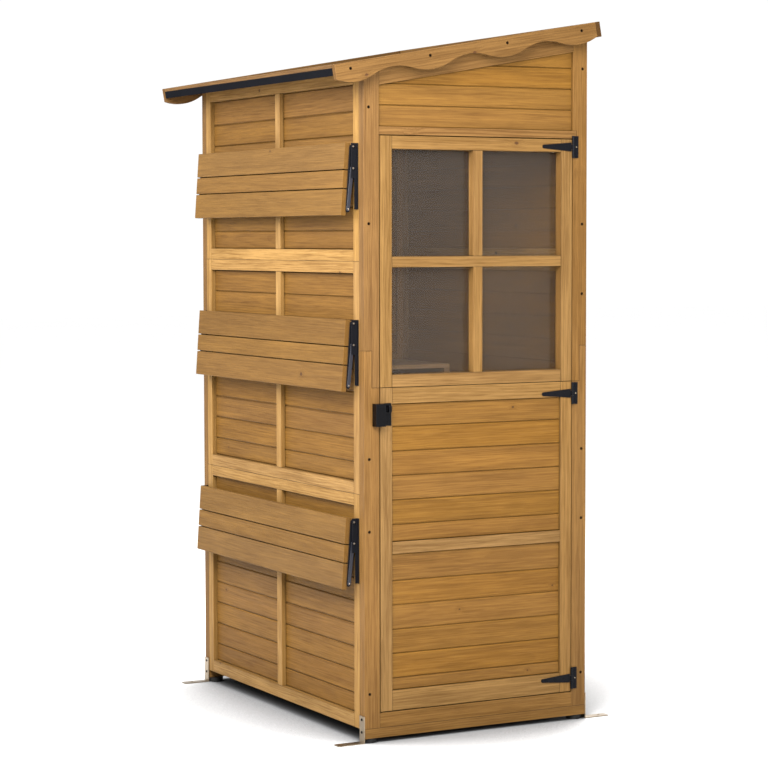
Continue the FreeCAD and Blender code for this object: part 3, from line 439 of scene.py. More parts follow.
def painted_metal(name="black_powder_coat", lift=1.0, rough=0.38, shine=0.07):
    """Black coat with orange peel, rubbed on its edges."""
    settings = bpy.context.scene.cabinet_fittings
    if name in bpy.data.materials:
        return bpy.data.materials[name]
    material, tree, shader = new_material(name)
    wear = placed(tree, wear_group(), {"Amount": 0.16})
    paint = tuple(c * lift for c in settings.paint_colour) + (1.0,)
    worn = tuple(c * lift * 6.0 for c in settings.paint_colour) + (1.0,)
    tree.links.new(mixed(tree, wear["Rubbed"], paint, worn), shader.inputs["Base Color"])
    tree.links.new(maths(tree, "MULTIPLY_ADD", wear["Clouds"], 0.2, rough), shader.inputs["Roughness"])
    bump = put(tree, "ShaderNodeBump", {"Strength": 0.25, "Distance": 0.0002, "Height": wear["Peel"]})
    tree.links.new(bump.outputs[0], shader.inputs["Normal"])
    shader.inputs["Specular IOR Level"].default_value = shine
    return material


def plated_metal(name, tint, rough):
    """Zinc plate with cloudy gloss and dull spots."""
    if name in bpy.data.materials:
        return bpy.data.materials[name]
    material, tree, shader = new_material(name)
    wear = placed(tree, wear_group(), {"Amount": 0.5})
    plate = (*tint, 1.0)
    dull = tuple(c * 0.5 for c in tint) + (1.0,)
    tree.links.new(mixed(tree, wear["Rubbed"], plate, dull), shader.inputs["Base Color"])
    tree.links.new(maths(tree, "MULTIPLY_ADD", wear["Clouds"], 0.25, rough), shader.inputs["Roughness"])
    bump = put(tree, "ShaderNodeBump", {"Strength": 0.2, "Distance": 0.0002, "Height": wear["Clouds"]})
    tree.links.new(bump.outputs[0], shader.inputs["Normal"])
    shader.inputs["Metallic"].default_value = 1.0
    return material


def roof_sheet(name="bitumen_sheet"):
    """Black bitumen sheet: fine crush marks, broad ripples and a soft gloss."""
    settings = bpy.context.scene.cabinet_roof
    if name in bpy.data.materials:
        return bpy.data.materials[name]
    material, tree, shader = new_material(name)
    place = put(tree, "ShaderNodeAttribute", attribute_name=GRAIN).outputs["Vector"]
    grit = noise(tree, place, 1400.0, 2.0)
    cloud = noise(tree, place, 14.0, 4.0, 0.6)
    crease = noise(tree, scaled(tree, place, (30.0, 4.0, 30.0)), 1.0, 2.0)
    tar = (*settings.felt_colour, 1.0)
    dusty = tuple(c * 1.8 for c in settings.felt_colour) + (1.0,)
    tree.links.new(mixed(tree, spread(tree, cloud, 0.4, 0.8, 0.0, 0.6), tar, dusty), shader.inputs["Base Color"])
    tree.links.new(maths(tree, "MULTIPLY_ADD", cloud, 0.2, 0.72), shader.inputs["Roughness"])
    shader.inputs["Specular IOR Level"].default_value = 0.03
    height = maths(tree, "MULTIPLY_ADD", grit, 0.25, crease)
    bump = put(tree, "ShaderNodeBump", {"Strength": 0.4, "Distance": 0.0012, "Height": height})
    tree.links.new(bump.outputs[0], shader.inputs["Normal"])
    return material


def clear_sheet(name="clear_sheet"):
    """Clear acrylic: a faint warm haze that lets lamplight through, with a soft shine."""
    settings = bpy.context.scene.cabinet_glazing
    if name in bpy.data.materials:
        return bpy.data.materials[name]
    material, tree, shader = new_material(name)
    place = put(tree, "ShaderNodeAttribute", attribute_name=GRAIN).outputs["Vector"]
    shader.inputs["Base Color"].default_value = (*settings.pane_colour, 1.0)
    smear = noise(tree, scaled(tree, place, (3.0, 3.0, 1.2)), 1.0, 4.0)
    tree.links.new(maths(tree, "MULTIPLY_ADD", smear, 0.09, 0.075), shader.inputs["Alpha"])
    tree.links.new(maths(tree, "MULTIPLY_ADD", smear, 0.1, 0.2), shader.inputs["Roughness"])
    edge_on = put(tree, "ShaderNodeFresnel", {"IOR": 1.22}).outputs[0]
    shine = put(tree, "ShaderNodeBsdfGlossy", {"Color": (1.0, 0.88, 0.76, 1.0), "Roughness": 0.06})
    both = put(tree, "ShaderNodeMixShader", {0: edge_on, 1: shader.outputs[0], 2: shine.outputs[0]})
    output = next(node for node in tree.nodes if node.type == "OUTPUT_MATERIAL")
    tree.links.new(both.outputs[0], output.inputs[0])
    return material


def black_rubber(name="black_rubber"):
    """Moulded black feet, dusty and matt."""
    if name in bpy.data.materials:
        return bpy.data.materials[name]
    material, tree, shader = new_material(name)
    place = put(tree, "ShaderNodeAttribute", attribute_name=GRAIN).outputs["Vector"]
    cloud = noise(tree, place, 60.0, 3.0)
    tree.links.new(mixed(tree, cloud, (0.003, 0.003, 0.003, 1), (0.008, 0.007, 0.006, 1)), shader.inputs["Base Color"])
    tree.links.new(maths(tree, "MULTIPLY_ADD", cloud, 0.2, 0.5), shader.inputs["Roughness"])
    bump = put(tree, "ShaderNodeBump", {"Strength": 0.3, "Distance": 0.0003, "Height": noise(tree, place, 1200.0)})
    tree.links.new(bump.outputs[0], shader.inputs["Normal"])
    shader.inputs["Specular IOR Level"].default_value = 0.2
    return material


# Shapes

def closed_pieces(node):
    """The separate solids in one node, each as a list of faces of welded corners.

    The faces of a solid follow one another, so a solid ends where no edge is left open.
    """
    mesh = frame["nodes"][node].data
    corners = [tuple(round(c * WELD) for c in vertex.co) for vertex in mesh.vertices]
    pieces, faces, loose = [], [], set()
    for polygon in mesh.polygons:
        ring = [corners[index] for index in polygon.vertices]
        sides = [frozenset(pair) for pair in zip(ring, ring[1:] + ring[:1])]
        if min(len(side) for side in sides) < 2:
            continue
        faces.append(ring)
        for side in sides:
            loose ^= {side}
        if not loose:
            pieces.append(faces)
            faces = []
    return pieces + ([faces] if faces else [])


def piece_box(faces):
    """Lowest and highest corner of a solid, in metres."""
    corners = [corner for ring in faces for corner in ring]
    low = Vector(min(corner[axis] for corner in corners) / WELD for axis in range(3))
    high = Vector(max(corner[axis] for corner in corners) / WELD for axis in range(3))
    return low, high


def all_solids():
    """Every solid of the frame in one search tree, and the owner of each of its faces."""
    corners, rings, owners = [], [], []
    for node in frame["nodes"]:
        for number, faces in enumerate(closed_pieces(node)):
            for ring in faces:
                rings.append(range(len(corners), len(corners) + len(ring)))
                corners += [[c / WELD for c in corner] for corner in ring]
                owners.append((node, number))
    return BVHTree.FromPolygons(corners, rings), owners


SOLIDS, OWNERS = all_solids()
SCREWS = [(low + high) / 2 for low, high in map(piece_box, closed_pieces("frame_screws"))]


def edge_mark(face, owner):
    """-1 for a rounded edge that lies against another solid, 1 for a free one."""
    near = SOLIDS.find_nearest_range(face.calc_center_median(), JOINT_REACH)
    return -1.0 if any(OWNERS[index] != owner for _, _, index, _ in near) else 1.0


def in_screw_hole(face):
    """Whether a face is part of a screw hole's wall."""
    if face.calc_area() > HOLE_FACE:
        return False
    centre = face.calc_center_median()
    return any(math.hypot(centre.x - screw.x, centre.z - screw.z) < HOLE_REACH for screw in SCREWS)


def eased(faces, rounding, steps=2, nose=0.0):
    """One solid as a mesh with merged flat faces and rounded edges, and the faces of its rounded edges."""
    bm = bmesh.new()
    made = {corner: bm.verts.new([c / WELD for c in corner]) for ring in faces for corner in ring}
    for ring in faces:
        bm.faces.new([made[corner] for corner in ring])
    bmesh.ops.recalc_face_normals(bm, faces=bm.faces[:])
    bmesh.ops.dissolve_limit(bm, angle_limit=math.radians(0.5), verts=bm.verts[:], edges=bm.edges[:])
    if nose:
        tip = min(vertex.co.x for vertex in bm.verts)
        ends = [edge for edge in bm.edges if all(abs(vertex.co.x - tip) < MM for vertex in edge.verts)]
        ends = [edge for edge in ends if abs(edge.verts[0].co.z - edge.verts[1].co.z) < MM]
        bmesh.ops.bevel(bm, geom=ends, offset=nose, offset_type="OFFSET", segments=5, profile=0.5, affect="EDGES")
    sharp = [edge for edge in bm.edges if edge.is_manifold and edge.calc_face_angle() > math.radians(28)]
    result = bmesh.ops.bevel(
        bm, geom=sharp, offset=rounding, offset_type="OFFSET", segments=steps, profile=0.6,
        affect="EDGES", clamp_overlap=False,
    )
    bm.normal_update()
    return bm, set(result["faces"])


def board_axes(bm):
    """Directions along, across and through a board: its longest edge, and the normal of its largest side."""
    longest = max(bm.edges, key=lambda edge: edge.calc_length())
    along = (longest.verts[1].co - longest.verts[0].co).normalized()
    sides = [face for face in bm.faces if abs(face.normal.dot(along)) < 0.5]
    through = max(sides, key=lambda face: face.calc_area()).normal.copy()
    through = (through - along * through.dot(along)).normalized()
    return along, through.cross(along), through


class Collected:
    """Corners, faces and their marks, gathered from several solids into one mesh."""

    def __init__(self):
        self.corners, self.faces, self.grain = [], [], []
        self.tone, self.cut_end, self.rough_side, self.arris = [], [], [], []

    def add(self, bm, grain, tone, cut_ends={}, rough_sides={}, edges={}):
        first = len(self.corners)
        bm.verts.index_update()
        for vertex in bm.verts:
            self.corners.append(vertex.co.copy())
            self.grain.append(grain(vertex.co))
        for face in bm.faces:
            self.faces.append([first + vertex.index for vertex in face.verts])
            self.tone.append(tone)
            self.cut_end.append(cut_ends.get(face, 0.0))
            self.rough_side.append(rough_sides.get(face, 0.0))
            self.arris.append(edges.get(face, 0.0))
        bm.free()

    def mesh(self, name):
        mesh = bpy.data.meshes.new(name)
        mesh.from_pydata(self.corners, [], self.faces)
        layer = mesh.attributes.new(GRAIN, "FLOAT_VECTOR", "POINT")
        layer.data.foreach_set("vector", [c for place in self.grain for c in place])
        marks = {"cut_end": self.cut_end, "rough_side": self.rough_side, "arris": self.arris}
        for key, values in marks.items():
            mesh.attributes.new(key, "FLOAT", "FACE").data.foreach_set("value", values)
        tone = mesh.attributes.new("tone", "FLOAT_VECTOR", "FACE")
        tone.data.foreach_set("vector", [c for value in self.tone for c in value])
        return mesh


def finished(mesh, name, material, body, slot, *replaced):
    """An object of one material that rides on its body and stands for its nodes."""
    piece = bpy.data.objects.new(name, mesh)
    bpy.context.scene.collection.objects.link(piece)
    mesh.materials.append(material)
    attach(piece, body)
    if replaced:
        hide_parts(*replaced)
    return piece


def body_of(node):
    """The body that holds a node."""
    return next(body for body, held in frame["record"]["behaviour"]["bodies"].items() if node in held)


def tongue_boxes(boards):
    """Boxes for the tongues that close the level joints between boards, as lowest and highest corners."""
    tongues = []
    for low, high in boards:
        for next_low, next_high in boards:
            length = [min(high[axis], next_high[axis]) - max(low[axis], next_low[axis]) for axis in (0, 1)]
            if not 0 <= next_low.z - high.z <= JOINT_REACH or min(length) < 5 * MM:
                continue
            through = 0 if length[0] < length[1] else 1
            start = Vector((max(low.x, next_low.x), max(low.y, next_low.y), high.z - 2 * MM))
            stop = Vector((min(high.x, next_high.x), min(high.y, next_high.y), next_low.z + 2 * MM))
            middle = (start[through] + stop[through]) / 2
            start[through], stop[through] = middle - 1.5 * MM, middle + 1.5 * MM
            start[1 - through] += 2 * MM
            stop[1 - through] -= 2 * MM
            tongues.append((start, stop))
    return tongues


def plain_box(low, high):
    """A box between two corners."""
    bm = bmesh.new()
    bmesh.ops.create_cube(bm, size=1.0)
    for vertex in bm.verts:
        vertex.co = Vector(low[axis] if vertex.co[axis] < 0 else high[axis] for axis in range(3))
    return bm


def dress_timber(node, material, play=0.0, rough=False, end_soak=1.0):
    """Replaces a node's boards with eased ones, each with its own place in a log."""
    settings = bpy.context.scene.cabinet_timber
    rng = random.Random(f"{TIMBER_SEED} {node}")
    gathered = Collected()
    solids = closed_pieces(node)
    for number, faces in enumerate(solids):
        bm, arrises = eased(faces, settings.edge_round)
        edges = {face: edge_mark(face, (node, number)) for face in arrises}
        along, across, through = board_axes(bm)
        shift = through * rng.uniform(-play, play)
        for vertex in bm.verts:
            vertex.co += shift
        centre = sum((vertex.co for vertex in bm.verts), Vector()) / len(bm.verts)
        pith = Vector((rng.uniform(-40, 40), rng.uniform(-0.05, 0.05), rng.choice((-1, 1)) * rng.uniform(0.015, 0.09)))

        def log_place(place, centre=centre, along=along, across=across, through=through, pith=pith):
            away = place - centre
            return Vector((away.dot(along), away.dot(across), away.dot(through))) + pith

        cut_ends = {face for face in bm.faces if abs(face.normal.dot(along)) > 0.9}
        # Painted shade: with rough set, the narrow sides facing across a member are marked to be darkened.
        sides = {face for face in bm.faces if rough and abs(face.normal.dot(across)) > 0.9}
        # Cut ends soak a darker stain; screw hole walls are marked 2 for the full shade colour, a painted shade inside
        # the holes.
        soaked_ends_and_shaded_holes = dict.fromkeys(cut_ends, end_soak) | {face: 2.0 for face in bm.faces if in_screw_hole(face)}
        tone = (rng.random(), rng.random(), rng.random())
        gathered.add(bm, log_place, tone, soaked_ends_and_shaded_holes, dict.fromkeys(sides, 1.0), edges)
    if play:
        for low, high in tongue_boxes([piece_box(faces) for faces in solids]):
            gathered.add(plain_box(low, high), lambda place: place, (0.5, 0.5, 0.5))
    name = node + "_timber"
    return finished(gathered.mesh(name), name, material, body_of(node), "fir", node)


def dress_metal(node, material, slot, rounding=None, nose=0.0):
    """Replaces a node's metal pieces with eased ones."""
    settings = bpy.context.scene.cabinet_fittings
    gathered = Collected()
    for faces in closed_pieces(node):
        bm, arrises = eased(faces, rounding or settings.metal_round, nose=nose)
        gathered.add(bm, lambda place: place, (0.5, 0.5, 0.5), edges=dict.fromkeys(arrises, 1.0))
    name = node + "_metal"
    return finished(gathered.mesh(name), name, material, body_of(node), slot, node)


def lathe(bm, seat, outward, outline, steps=24, turn=0.0):
    """A turned shape on a seat: its outline is a list of (radius, height), and its top stays open."""
    side = outward.orthogonal().normalized()
    other = outward.cross(side)
    rings = []
    for radius, height in outline:
        ring = []
        for step in range(steps):
            angle = turn + math.tau * step / steps
            spoke = side * math.cos(angle) + other * math.sin(angle)
            ring.append(bm.verts.new(seat + spoke * radius + outward * height))
        rings.append(ring)
    for lower, upper in zip(rings, rings[1:]):
        for step in range(steps):
            after = (step + 1) % steps
            bm.faces.new((lower[step], lower[after], upper[after], upper[step]))
    return rings


def screw_head(bm, seat, outward, radius, height, turn):
    """A screw head with a cross recess."""
    rim = 0.8
    outline = [(radius, 0.0), (radius, height * 0.35), (radius * 0.93, height * 0.8), (radius * rim, height)]
    rings = lathe(bm, seat, outward, outline)
    bm.faces.new(rings[0][::-1])
    side = outward.orthogonal().normalized()
    other = outward.cross(side)
    reach, half = radius * 0.58, radius * 0.13
    corner = ((half, half), (half, reach), (-half, reach), (-half, half))
    cross = []
    for quarter in range(4):
        for x, y in corner[:3]:
            angle = turn + quarter * math.pi / 2
            px = x * math.cos(angle) - y * math.sin(angle)
            py = x * math.sin(angle) + y * math.cos(angle)
            cross.append((px, py))
    top = [bm.verts.new(seat + side * x + other * y + outward * height) for x, y in cross]
    floor = [bm.verts.new(seat + (side * x + other * y) * 0.7 + outward * height * 0.3) for x, y in cross]
    count = len(top)
    edges = [bm.edges.new((top[i], top[(i + 1) % count])) for i in range(count)]
    rim_edges = [bm.edges.get((rings[-1][i], rings[-1][(i + 1) % 24])) for i in range(24)]
    bmesh.ops.triangle_fill(bm, edges=edges + rim_edges, use_beauty=True, use_dissolve=False)
    for i in range(count):
        after = (i + 1) % count
        bm.faces.new((top[i], top[after], floor[after], floor[i]))
    bm.faces.new(floor)


def dome(bm, seat, outward, radius, height):
    """A round rivet or tack head."""
    outline = [(radius * math.cos(a), height * math.sin(a)) for a in (0, 0.35, 0.75, 1.1, 1.4)]
    rings = lathe(bm, seat, outward, [(radius, -height * 0.4)] + outline)
    bm.faces.new(rings[-1])
    bm.faces.new(rings[0][::-1])


def heads(name, places, outward, radius, height, material, body, slot, shape, *replaced):
    """Several screw or rivet heads as one piece."""
    rng = random.Random(name)
    bm = bmesh.new()
    for place in places:
        direction = outward(place) if callable(outward) else outward
        if shape == "screw":
            screw_head(bm, place, direction, radius, height, rng.uniform(0, math.pi))
        else:
            dome(bm, place, direction, radius, height)
    bmesh.ops.recalc_face_normals(bm, faces=bm.faces[:])
    gathered = Collected()
    gathered.add(bm, lambda place: place, (0.5, 0.5, 0.5))
    mesh = gathered.mesh(name)
    for polygon in mesh.polygons:
        polygon.use_smooth = shape != "screw"
    return finished(mesh, name, material, body, slot, *replaced)


# Pieces

POSTS = (
    "front_left_post_lower", "front_left_post_upper", "front_right_post_lower", "front_right_post_upper",
    "back_left_post", "back_right_post",
)
END_RAILS = (
    "front_sill", "back_sill", "front_bottom_rail", "front_header", "front_gable_rail", "back_top_rail", "back_rails",
)
LEVELS = ("lower", "middle", "upper")
STRAP_HOLES = (23 * MM, 51 * MM, 79 * MM)
PLATE_HOLE_RISE = 19 * MM
STRUT_HALF = 4.5 * MM


def frame_wood():
    return timber("fir_frames", bpy.context.scene.cabinet_timber.post_colour, 0.2, 1.5)


def figured_wood():
    return timber("fir_figured", bpy.context.scene.cabinet_timber.post_colour, 0.5, 1.9, figure=0.42, rings_apart=2.2)


def door_wood():
    return timber("fir_door", bpy.context.scene.cabinet_timber.door_colour, 0.2, 1.6)


def roof_wood():
    return timber("fir_roof", bpy.context.scene.cabinet_timber.roof_colour, 0.12, 1.6)


def wall_wood():
    return timber("fir_wall_frames", bpy.context.scene.cabinet_timber.wall_colour, 0.2, 1.8)


def board_wood():
    return timber("fir_boards", bpy.context.scene.cabinet_timber.board_colour, 0.16, 1.3, 0.45)


def slat_wood():
    return timber("fir_slats", bpy.context.scene.cabinet_timber.slat_colour, 0.1, 1.1)


def inner_wood():
    return timber("fir_inside", bpy.context.scene.cabinet_timber.inner_colour, 0.35, 0.9)


# Near-black screw heads: partly their own dark finish, partly painted shade of the holes they sit in.
def dark_screws():
    return plated_metal("dark_screws", bpy.context.scene.cabinet_fittings.screw_colour, 0.4)


def dull_rivets():
    return plated_metal("dull_rivets", bpy.context.scene.cabinet_fittings.rivet_colour, 0.35)


def zinc():
    return plated_metal("zinc_plate", bpy.context.scene.cabinet_fittings.zinc_colour, 0.22)


class CABINET_OT_posts_and_rails(bpy.types.Operator):
    """Corner posts, sills and rails of the two end frames"""

    bl_idname = "cabinet.posts_and_rails"
    bl_label = "Posts and rails"

    def execute(self, context):
        for node in POSTS + END_RAILS:
            dress_timber(node, figured_wood() if node == "front_header" else frame_wood())
        return {"FINISHED"}


class CABINET_OT_wall_boards(bpy.types.Operator):
    """Framed side walls and the boards of the walls, the back and the gable"""

    bl_idname = "cabinet.wall_boards"
    bl_label = "Wall boards"

    def execute(self, context):
        play = context.scene.cabinet_timber.board_play
        for side in ("left", "right"):
            for panel in LEVELS:
                # rough: painted shade on the narrow sides of the frames' members.
                dress_timber(f"{side}_wall_{panel}_frame", wall_wood(), rough=True)
            dress_timber(f"{side}_wall_boards", board_wood(), play)
        for node in ("back_boards", "front_gable_boards"):
            dress_timber(node, board_wood(), play)
        return {"FINISHED"}


class CABINET_OT_floor_and_inner_shelf(bpy.types.Operator):
    """Floor boards on their joists, and the shelf inside on its cleats"""

    bl_idname = "cabinet.floor_and_inner_shelf"
    bl_label = "Floor and inner shelf"

    def execute(self, context):
        for node in ("floor_boards", "floor_joists", "inner_shelf_slats", "inner_shelf_cleats"):
            dress_timber(node, inner_wood())
        return {"FINISHED"}


class CABINET_OT_roof(bpy.types.Operator):
    """Roof timbers, scalloped bargeboards, the black sheet and its tacks"""

    bl_idname = "cabinet.roof"
    bl_label = "Roof"

    def execute(self, context):
        settings = context.scene.cabinet_roof
        for node in ("roof_bargeboard_front", "roof_bargeboard_back", "roof_eave_battens"):
            dress_timber(node, roof_wood())
        dress_timber("roof_fascia", roof_wood(), end_soak=1.6)
        for node in ("roof_deck_boards", "roof_rafter"):
            dress_timber(node, inner_wood())
        dress_metal("roof_felt", roof_sheet(), "felt")
        low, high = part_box("roof_felt")
        top_end = Vector((high.x, 0, high.z))
        run = (high.x - low.x) / ROOF_ALONG.x
        places = []
        for side in (low.y + settings.tack_inset, high.y - settings.tack_inset):
            count = round(run / settings.tack_spacing)
            for step in range(count + 1):
                back = settings.tack_inset + 0.02 + (run - 2 * settings.tack_inset - 0.05) * step / count
                places.append(top_end - ROOF_ALONG * back + Vector((0, side, 0)))
        heads("roof_tacks", places, ROOF_NORMAL, settings.tack_radius, 1.2 * MM, zinc(), "carcass", "zinc", "dome")
        return {"FINISHED"}


class CABINET_OT_door(bpy.types.Operator):
    """Both halves of the door, the glazing bars, the pane, the joining plates and the stop"""

    bl_idname = "cabinet.door"
    bl_label = "Door"

    def execute(self, context):
        play = context.scene.cabinet_timber.board_play
        for node in ("door_upper_frame", "door_lower_frame", "door_muntins", "door_stop"):
            # rough: painted shade on the narrow sides of the frames' members.
            dress_timber(node, door_wood(), rough=node != "door_muntins")
        dress_timber("door_lower_boards", board_wood(), play)
        dress_metal("door_pane", clear_sheet(), "pane")
        dress_metal("door_joining_plates", zinc(), "zinc")
        low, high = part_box("door_pane")
        inset = 8 * MM
        count = context.scene.cabinet_glazing.pane_screws
        places = []
        for step in range(count):
            share = (step + 0.5) / count
            for x in (low.x + inset, high.x - inset):
                places.append(Vector((x, high.y, low.z + (high.z - low.z) * share)))
            for z in (low.z + inset, high.z - inset):
                places.append(Vector((low.x + (high.x - low.x) * share, high.y, z)))
        heads("pane_screws", places, Vector((0, 1, 0)), 3 * MM, 1.5 * MM, zinc(), "door", "zinc", "screw")
        return {"FINISHED"}


class CABINET_OT_hinges(bpy.types.Operator):
    """Tee hinges with their pins and screws"""

    bl_idname = "cabinet.hinges"
    bl_label = "Hinges"

    def execute(self, context):
        settings = context.scene.cabinet_fittings
        paint = painted_metal()
        for node in ("hinge_plates", "hinge_pins"):
            dress_metal(node, paint, "black_steel")
        dress_metal("hinge_straps", paint, "black_steel", nose=3.6 * MM)
        axis = next(joint for joint in frame["joints"] if joint["name"] == "door_swing")["pos_m"][0]
        outward = Vector((0, -1, 0))
        strap_places, plate_places, rivet_places = [], [], []
        for faces in closed_pieces("hinge_straps"):
            low, high = piece_box(faces)
            face = high.y - 2.5 * MM
            strap_places += [Vector((axis - hole, face, (low.z + high.z) / 2)) for hole in STRAP_HOLES]
        for faces in closed_pieces("hinge_plates"):
            low, high = piece_box(faces)
            face = high.y - 2.5 * MM
            middle = (low.z + high.z) / 2
            plate_x = high.x - 5.9 * MM
            plate_places += [Vector((plate_x, face, middle + rise)) for rise in (-PLATE_HOLE_RISE, PLATE_HOLE_RISE)]
            rivet_places.append(Vector((plate_x, face, middle)))
        head = settings.screw_radius
        heads("hinge_strap_screws", strap_places, outward, head, 0.9 * MM, paint, "door", "black_steel", "screw")
        heads("hinge_plate_screws", plate_places, outward, head, 0.9 * MM, paint, "carcass", "black_steel", "screw")
        heads("hinge_rivets", rivet_places, outward, 1.8 * MM, 0.8 * MM, zinc(), "carcass", "zinc", "dome")
        return {"FINISHED"}


class CABINET_OT_latch(bpy.types.Operator):
    """Latch case, sliding bolt with its knob, and keeper"""

    bl_idname = "cabinet.latch"
    bl_label = "Latch"

    def execute(self, context):
        settings = context.scene.cabinet_fittings
        paint = painted_metal("glossy_black_enamel", 0.4, 0.08, 0.16)
        for node in ("latch_case", "latch_bolt", "latch_keeper"):
            dress_metal(node, paint, "black_steel")
        low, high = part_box("latch_case")
        places = [Vector((high.x - 10 * MM, high.y - 3 * MM, z)) for z in (low.z + 8 * MM, high.z - 8 * MM)]
        heads(
            "latch_screws", places, Vector((0, -1, 0)), settings.screw_radius, 1.0 * MM, paint, "door",
            "black_steel", "screw"
        )
        return {"FINISHED"}


class CABINET_OT_folding_shelves(bpy.types.Operator):
    """Slatted shelves, their arms, struts, wall brackets and bright rivets"""

    bl_idname = "cabinet.folding_shelves"
    bl_label = "Folding shelves"

    def execute(self, context):
        settings = context.scene.cabinet_fittings
        paint = painted_metal()
        dress_metal("shelf_wall_brackets", paint, "black_steel", 0.35 * MM)
        bracket_low, bracket_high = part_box("shelf_wall_brackets")
        radius = settings.rivet_radius
        ends = ((bracket_low.y + 1.5 * MM, -1), (bracket_high.y - 1.5 * MM, 1))
        pivots = []
        for shelf in LEVELS:
            dress_timber(f"{shelf}_shelf_slats", slat_wood())
            dress_metal(f"{shelf}_shelf_arms", paint, "black_steel", 0.35 * MM)
            dress_metal(f"{shelf}_shelf_struts", painted_metal("satin_black_steel", 4.0, 0.25, 0.3), "black_steel", 0.35 * MM)
            joints = [j for j in frame["joints"] if j["name"] in (f"{shelf}_shelf_fold", f"{shelf}_strut_swing")]
            for joint in joints:
                x, _, z = joint["pos_m"]
                pivots += [Vector((x, y, z)) for y, _ in ends]
            low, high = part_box(f"{shelf}_shelf_struts")
            end_x, end_z = low.x + STRUT_HALF, low.z + STRUT_HALF
            tips = [Vector((end_x, low.y + 1.5 * MM, end_z)), Vector((end_x, high.y - 1.5 * MM, end_z))]
            heads(
                f"{shelf}_strut_rivets", tips, lambda place: Vector((0, math.copysign(1, place.y), 0)), radius,
                2 * MM, zinc(), f"{shelf}_struts", "zinc", "dome"
            )
        heads(
            "bracket_rivets", pivots, lambda place: Vector((0, math.copysign(1, place.y), 0)), radius, 2 * MM,
            dull_rivets(), "carcass", "zinc", "dome"
        )
        return {"FINISHED"}


class CABINET_OT_feet_and_anchors(bpy.types.Operator):
    """Round feet, angle anchors and the screws in them"""

    bl_idname = "cabinet.feet_and_anchors"
    bl_label = "Feet and anchors"

    def execute(self, context):
        dress_metal("feet", black_rubber(), "foot")
        dress_metal("ground_anchors", zinc(), "zinc")
        places = []
        for faces in closed_pieces("ground_anchors"):
            low, high = piece_box(faces)
            side = 1 if high.x > 0 else -1
            middle = (low.y + high.y) / 2
            wall = low.x if side > 0 else high.x
            places += [Vector((wall + side * 2.5 * MM, middle, z)) for z in (28 * MM, 60 * MM)]
        heads(
            "anchor_screws", places, lambda place: Vector((math.copysign(1, place.x), 0, 0)), 3.4 * MM, 1.4 * MM,
            dark_screws(), "carcass", "screw", "screw"
        )
        return {"FINISHED"}


class CABINET_OT_frame_screws(bpy.types.Operator):
    """Wood screws at the bottom of their holes"""

    bl_idname = "cabinet.frame_screws"
    bl_label = "Frame screws"

    def execute(self, context):
        places = []
        for faces in closed_pieces("frame_screws"):
            low, high = piece_box(faces)
            centre = (low + high) / 2
            face = low.y if centre.y < 0 else high.y
            places.append(Vector((centre.x, face + math.copysign(0.8 * MM, -centre.y), centre.z)))
        heads(
            "frame_screw_heads", places, lambda place: Vector((0, math.copysign(1, place.y), 0)), 3.0 * MM, 0.8 * MM,
            dark_screws(), "carcass", "screw", "screw", "frame_screws"
        )
        return {"FINISHED"}


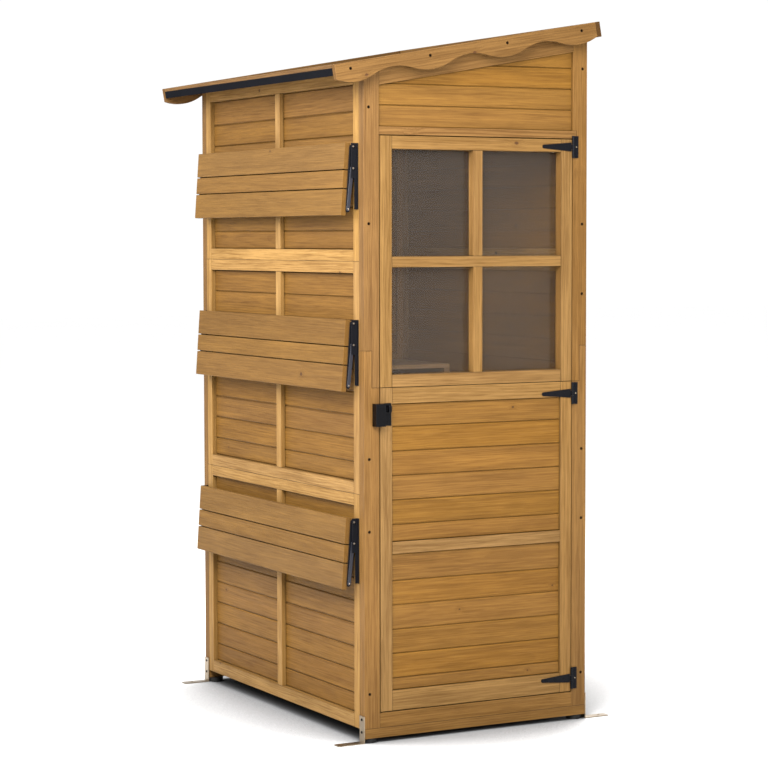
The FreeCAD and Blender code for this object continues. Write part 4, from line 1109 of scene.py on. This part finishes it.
class CABINET_OT_stage(bpy.types.Operator):
    """Pale floor with a painted shadow around the cabinet, soft lamps and the camera"""

    bl_idname = "cabinet.stage"
    bl_label = "Stage"

    def execute(self, context):
        settings = context.scene.cabinet_stage
        half = settings.floor_size / 2
        mesh = bpy.data.meshes.new("studio_floor")
        mesh.from_pydata([(-half, -half, 0), (half, -half, 0), (half, half, 0), (-half, half, 0)], [], [(0, 1, 2, 3)])
        floor = bpy.data.objects.new("studio_floor", mesh)
        context.scene.collection.objects.link(floor)
        material, tree, shader = new_material("pale_floor")
        # Painted shadow: the floor darkens towards the shadow colour where it sees little open sky near the cabinet.
        open_sky = put(tree, "ShaderNodeAmbientOcclusion", {"Distance": settings.painted_shadow_reach}, samples=8).outputs["AO"]
        open_sky = maths(tree, "POWER", open_sky, 2.6)
        pale = mixed(tree, open_sky, (*settings.painted_shadow_colour, 1.0), (*settings.floor_colour, 1.0))
        tree.links.new(pale, shader.inputs["Base Color"])
        shader.inputs["Roughness"].default_value = 0.9
        mesh.materials.append(material)
        world = bpy.data.worlds.new("studio")
        world.use_nodes = True
        sky = world.node_tree.nodes["Background"]
        sky.inputs["Color"].default_value = (1.0, 1.0, 1.0, 1.0)
        sky.inputs["Strength"].default_value = settings.sky_strength
        context.scene.world = world
        self.lamp("key_light", (-1.6, -2.1, 2.5), 1.6, settings.key_power)
        self.lamp("fill_light", (-0.6, -3.1, 1.6), 1.6, settings.fill_power)
        self.lamp("side_light", (-2.6, 0.6, 2.2), 1.6, settings.side_power)
        self.lamp("back_light", (2.5, 1.3, 2.7), 1.8, settings.back_power)
        camera = bpy.data.cameras.new("camera")
        camera.lens = settings.camera_lens
        camera.sensor_width = 36.0
        viewer = bpy.data.objects.new("camera", camera)
        viewer.matrix_world = (
            Matrix.Translation(settings.camera_place)
            @ Matrix.Rotation(-settings.camera_turn, 4, "Z")
            @ Matrix.Rotation(math.pi / 2 - settings.camera_tilt, 4, "X")
            @ Matrix.Rotation(settings.camera_roll, 4, "Z")
        )
        context.scene.collection.objects.link(viewer)
        context.scene.camera = viewer
        context.scene.view_settings.view_transform = "Standard"
        return {"FINISHED"}

    def lamp(self, name, place, size, power):
        light = bpy.data.lights.new(name, "AREA")
        light.shape = "DISK"
        light.size = size
        light.energy = power
        holder = bpy.data.objects.new(name, light)
        holder.location = place
        aim = Vector((0, 0, 1.3)) - Vector(place)
        holder.rotation_euler = aim.to_track_quat("-Z", "Y").to_euler()
        bpy.context.scene.collection.objects.link(holder)


class CABINET_PT_panel(bpy.types.Panel):
    """Everything that can be made and changed"""

    bl_idname = "CABINET_PT_panel"
    bl_label = "Garden cabinet"
    bl_space_type = "VIEW_3D"
    bl_region_type = "UI"
    bl_category = "Cabinet"

    def draw(self, context):
        column = self.layout.column()
        for operator in OPERATORS:
            column.operator(operator.bl_idname)
        for key, settings in SETTINGS.items():
            box = self.layout.box()
            box.label(text=settings.__doc__)
            for field in settings.__annotations__:
                box.prop(getattr(context.scene, key), field)


SETTINGS = {
    "cabinet_timber": TimberSettings,
    "cabinet_fittings": FittingSettings,
    "cabinet_roof": RoofSettings,
    "cabinet_glazing": GlazingSettings,
    "cabinet_stage": StageSettings,
}
OPERATORS = (
    CABINET_OT_stage,
    CABINET_OT_posts_and_rails,
    CABINET_OT_wall_boards,
    CABINET_OT_floor_and_inner_shelf,
    CABINET_OT_roof,
    CABINET_OT_door,
    CABINET_OT_hinges,
    CABINET_OT_latch,
    CABINET_OT_folding_shelves,
    CABINET_OT_feet_and_anchors,
    CABINET_OT_frame_screws,
)


def register():
    for key, settings in SETTINGS.items():
        bpy.utils.register_class(settings)
        setattr(bpy.types.Scene, key, PointerProperty(type=settings))
    for operator in OPERATORS:
        bpy.utils.register_class(operator)
    bpy.utils.register_class(CABINET_PT_panel)


def unregister():
    bpy.utils.unregister_class(CABINET_PT_panel)
    for operator in reversed(OPERATORS):
        bpy.utils.unregister_class(operator)
    for key, settings in SETTINGS.items():
        delattr(bpy.types.Scene, key)
        bpy.utils.unregister_class(settings)


def main():
    """Makes everything in order."""
    register()
    for operator in OPERATORS:
        area, name = operator.bl_idname.split(".")
        getattr(getattr(bpy.ops, area), name)()


if __name__ == "__main__":
    main()
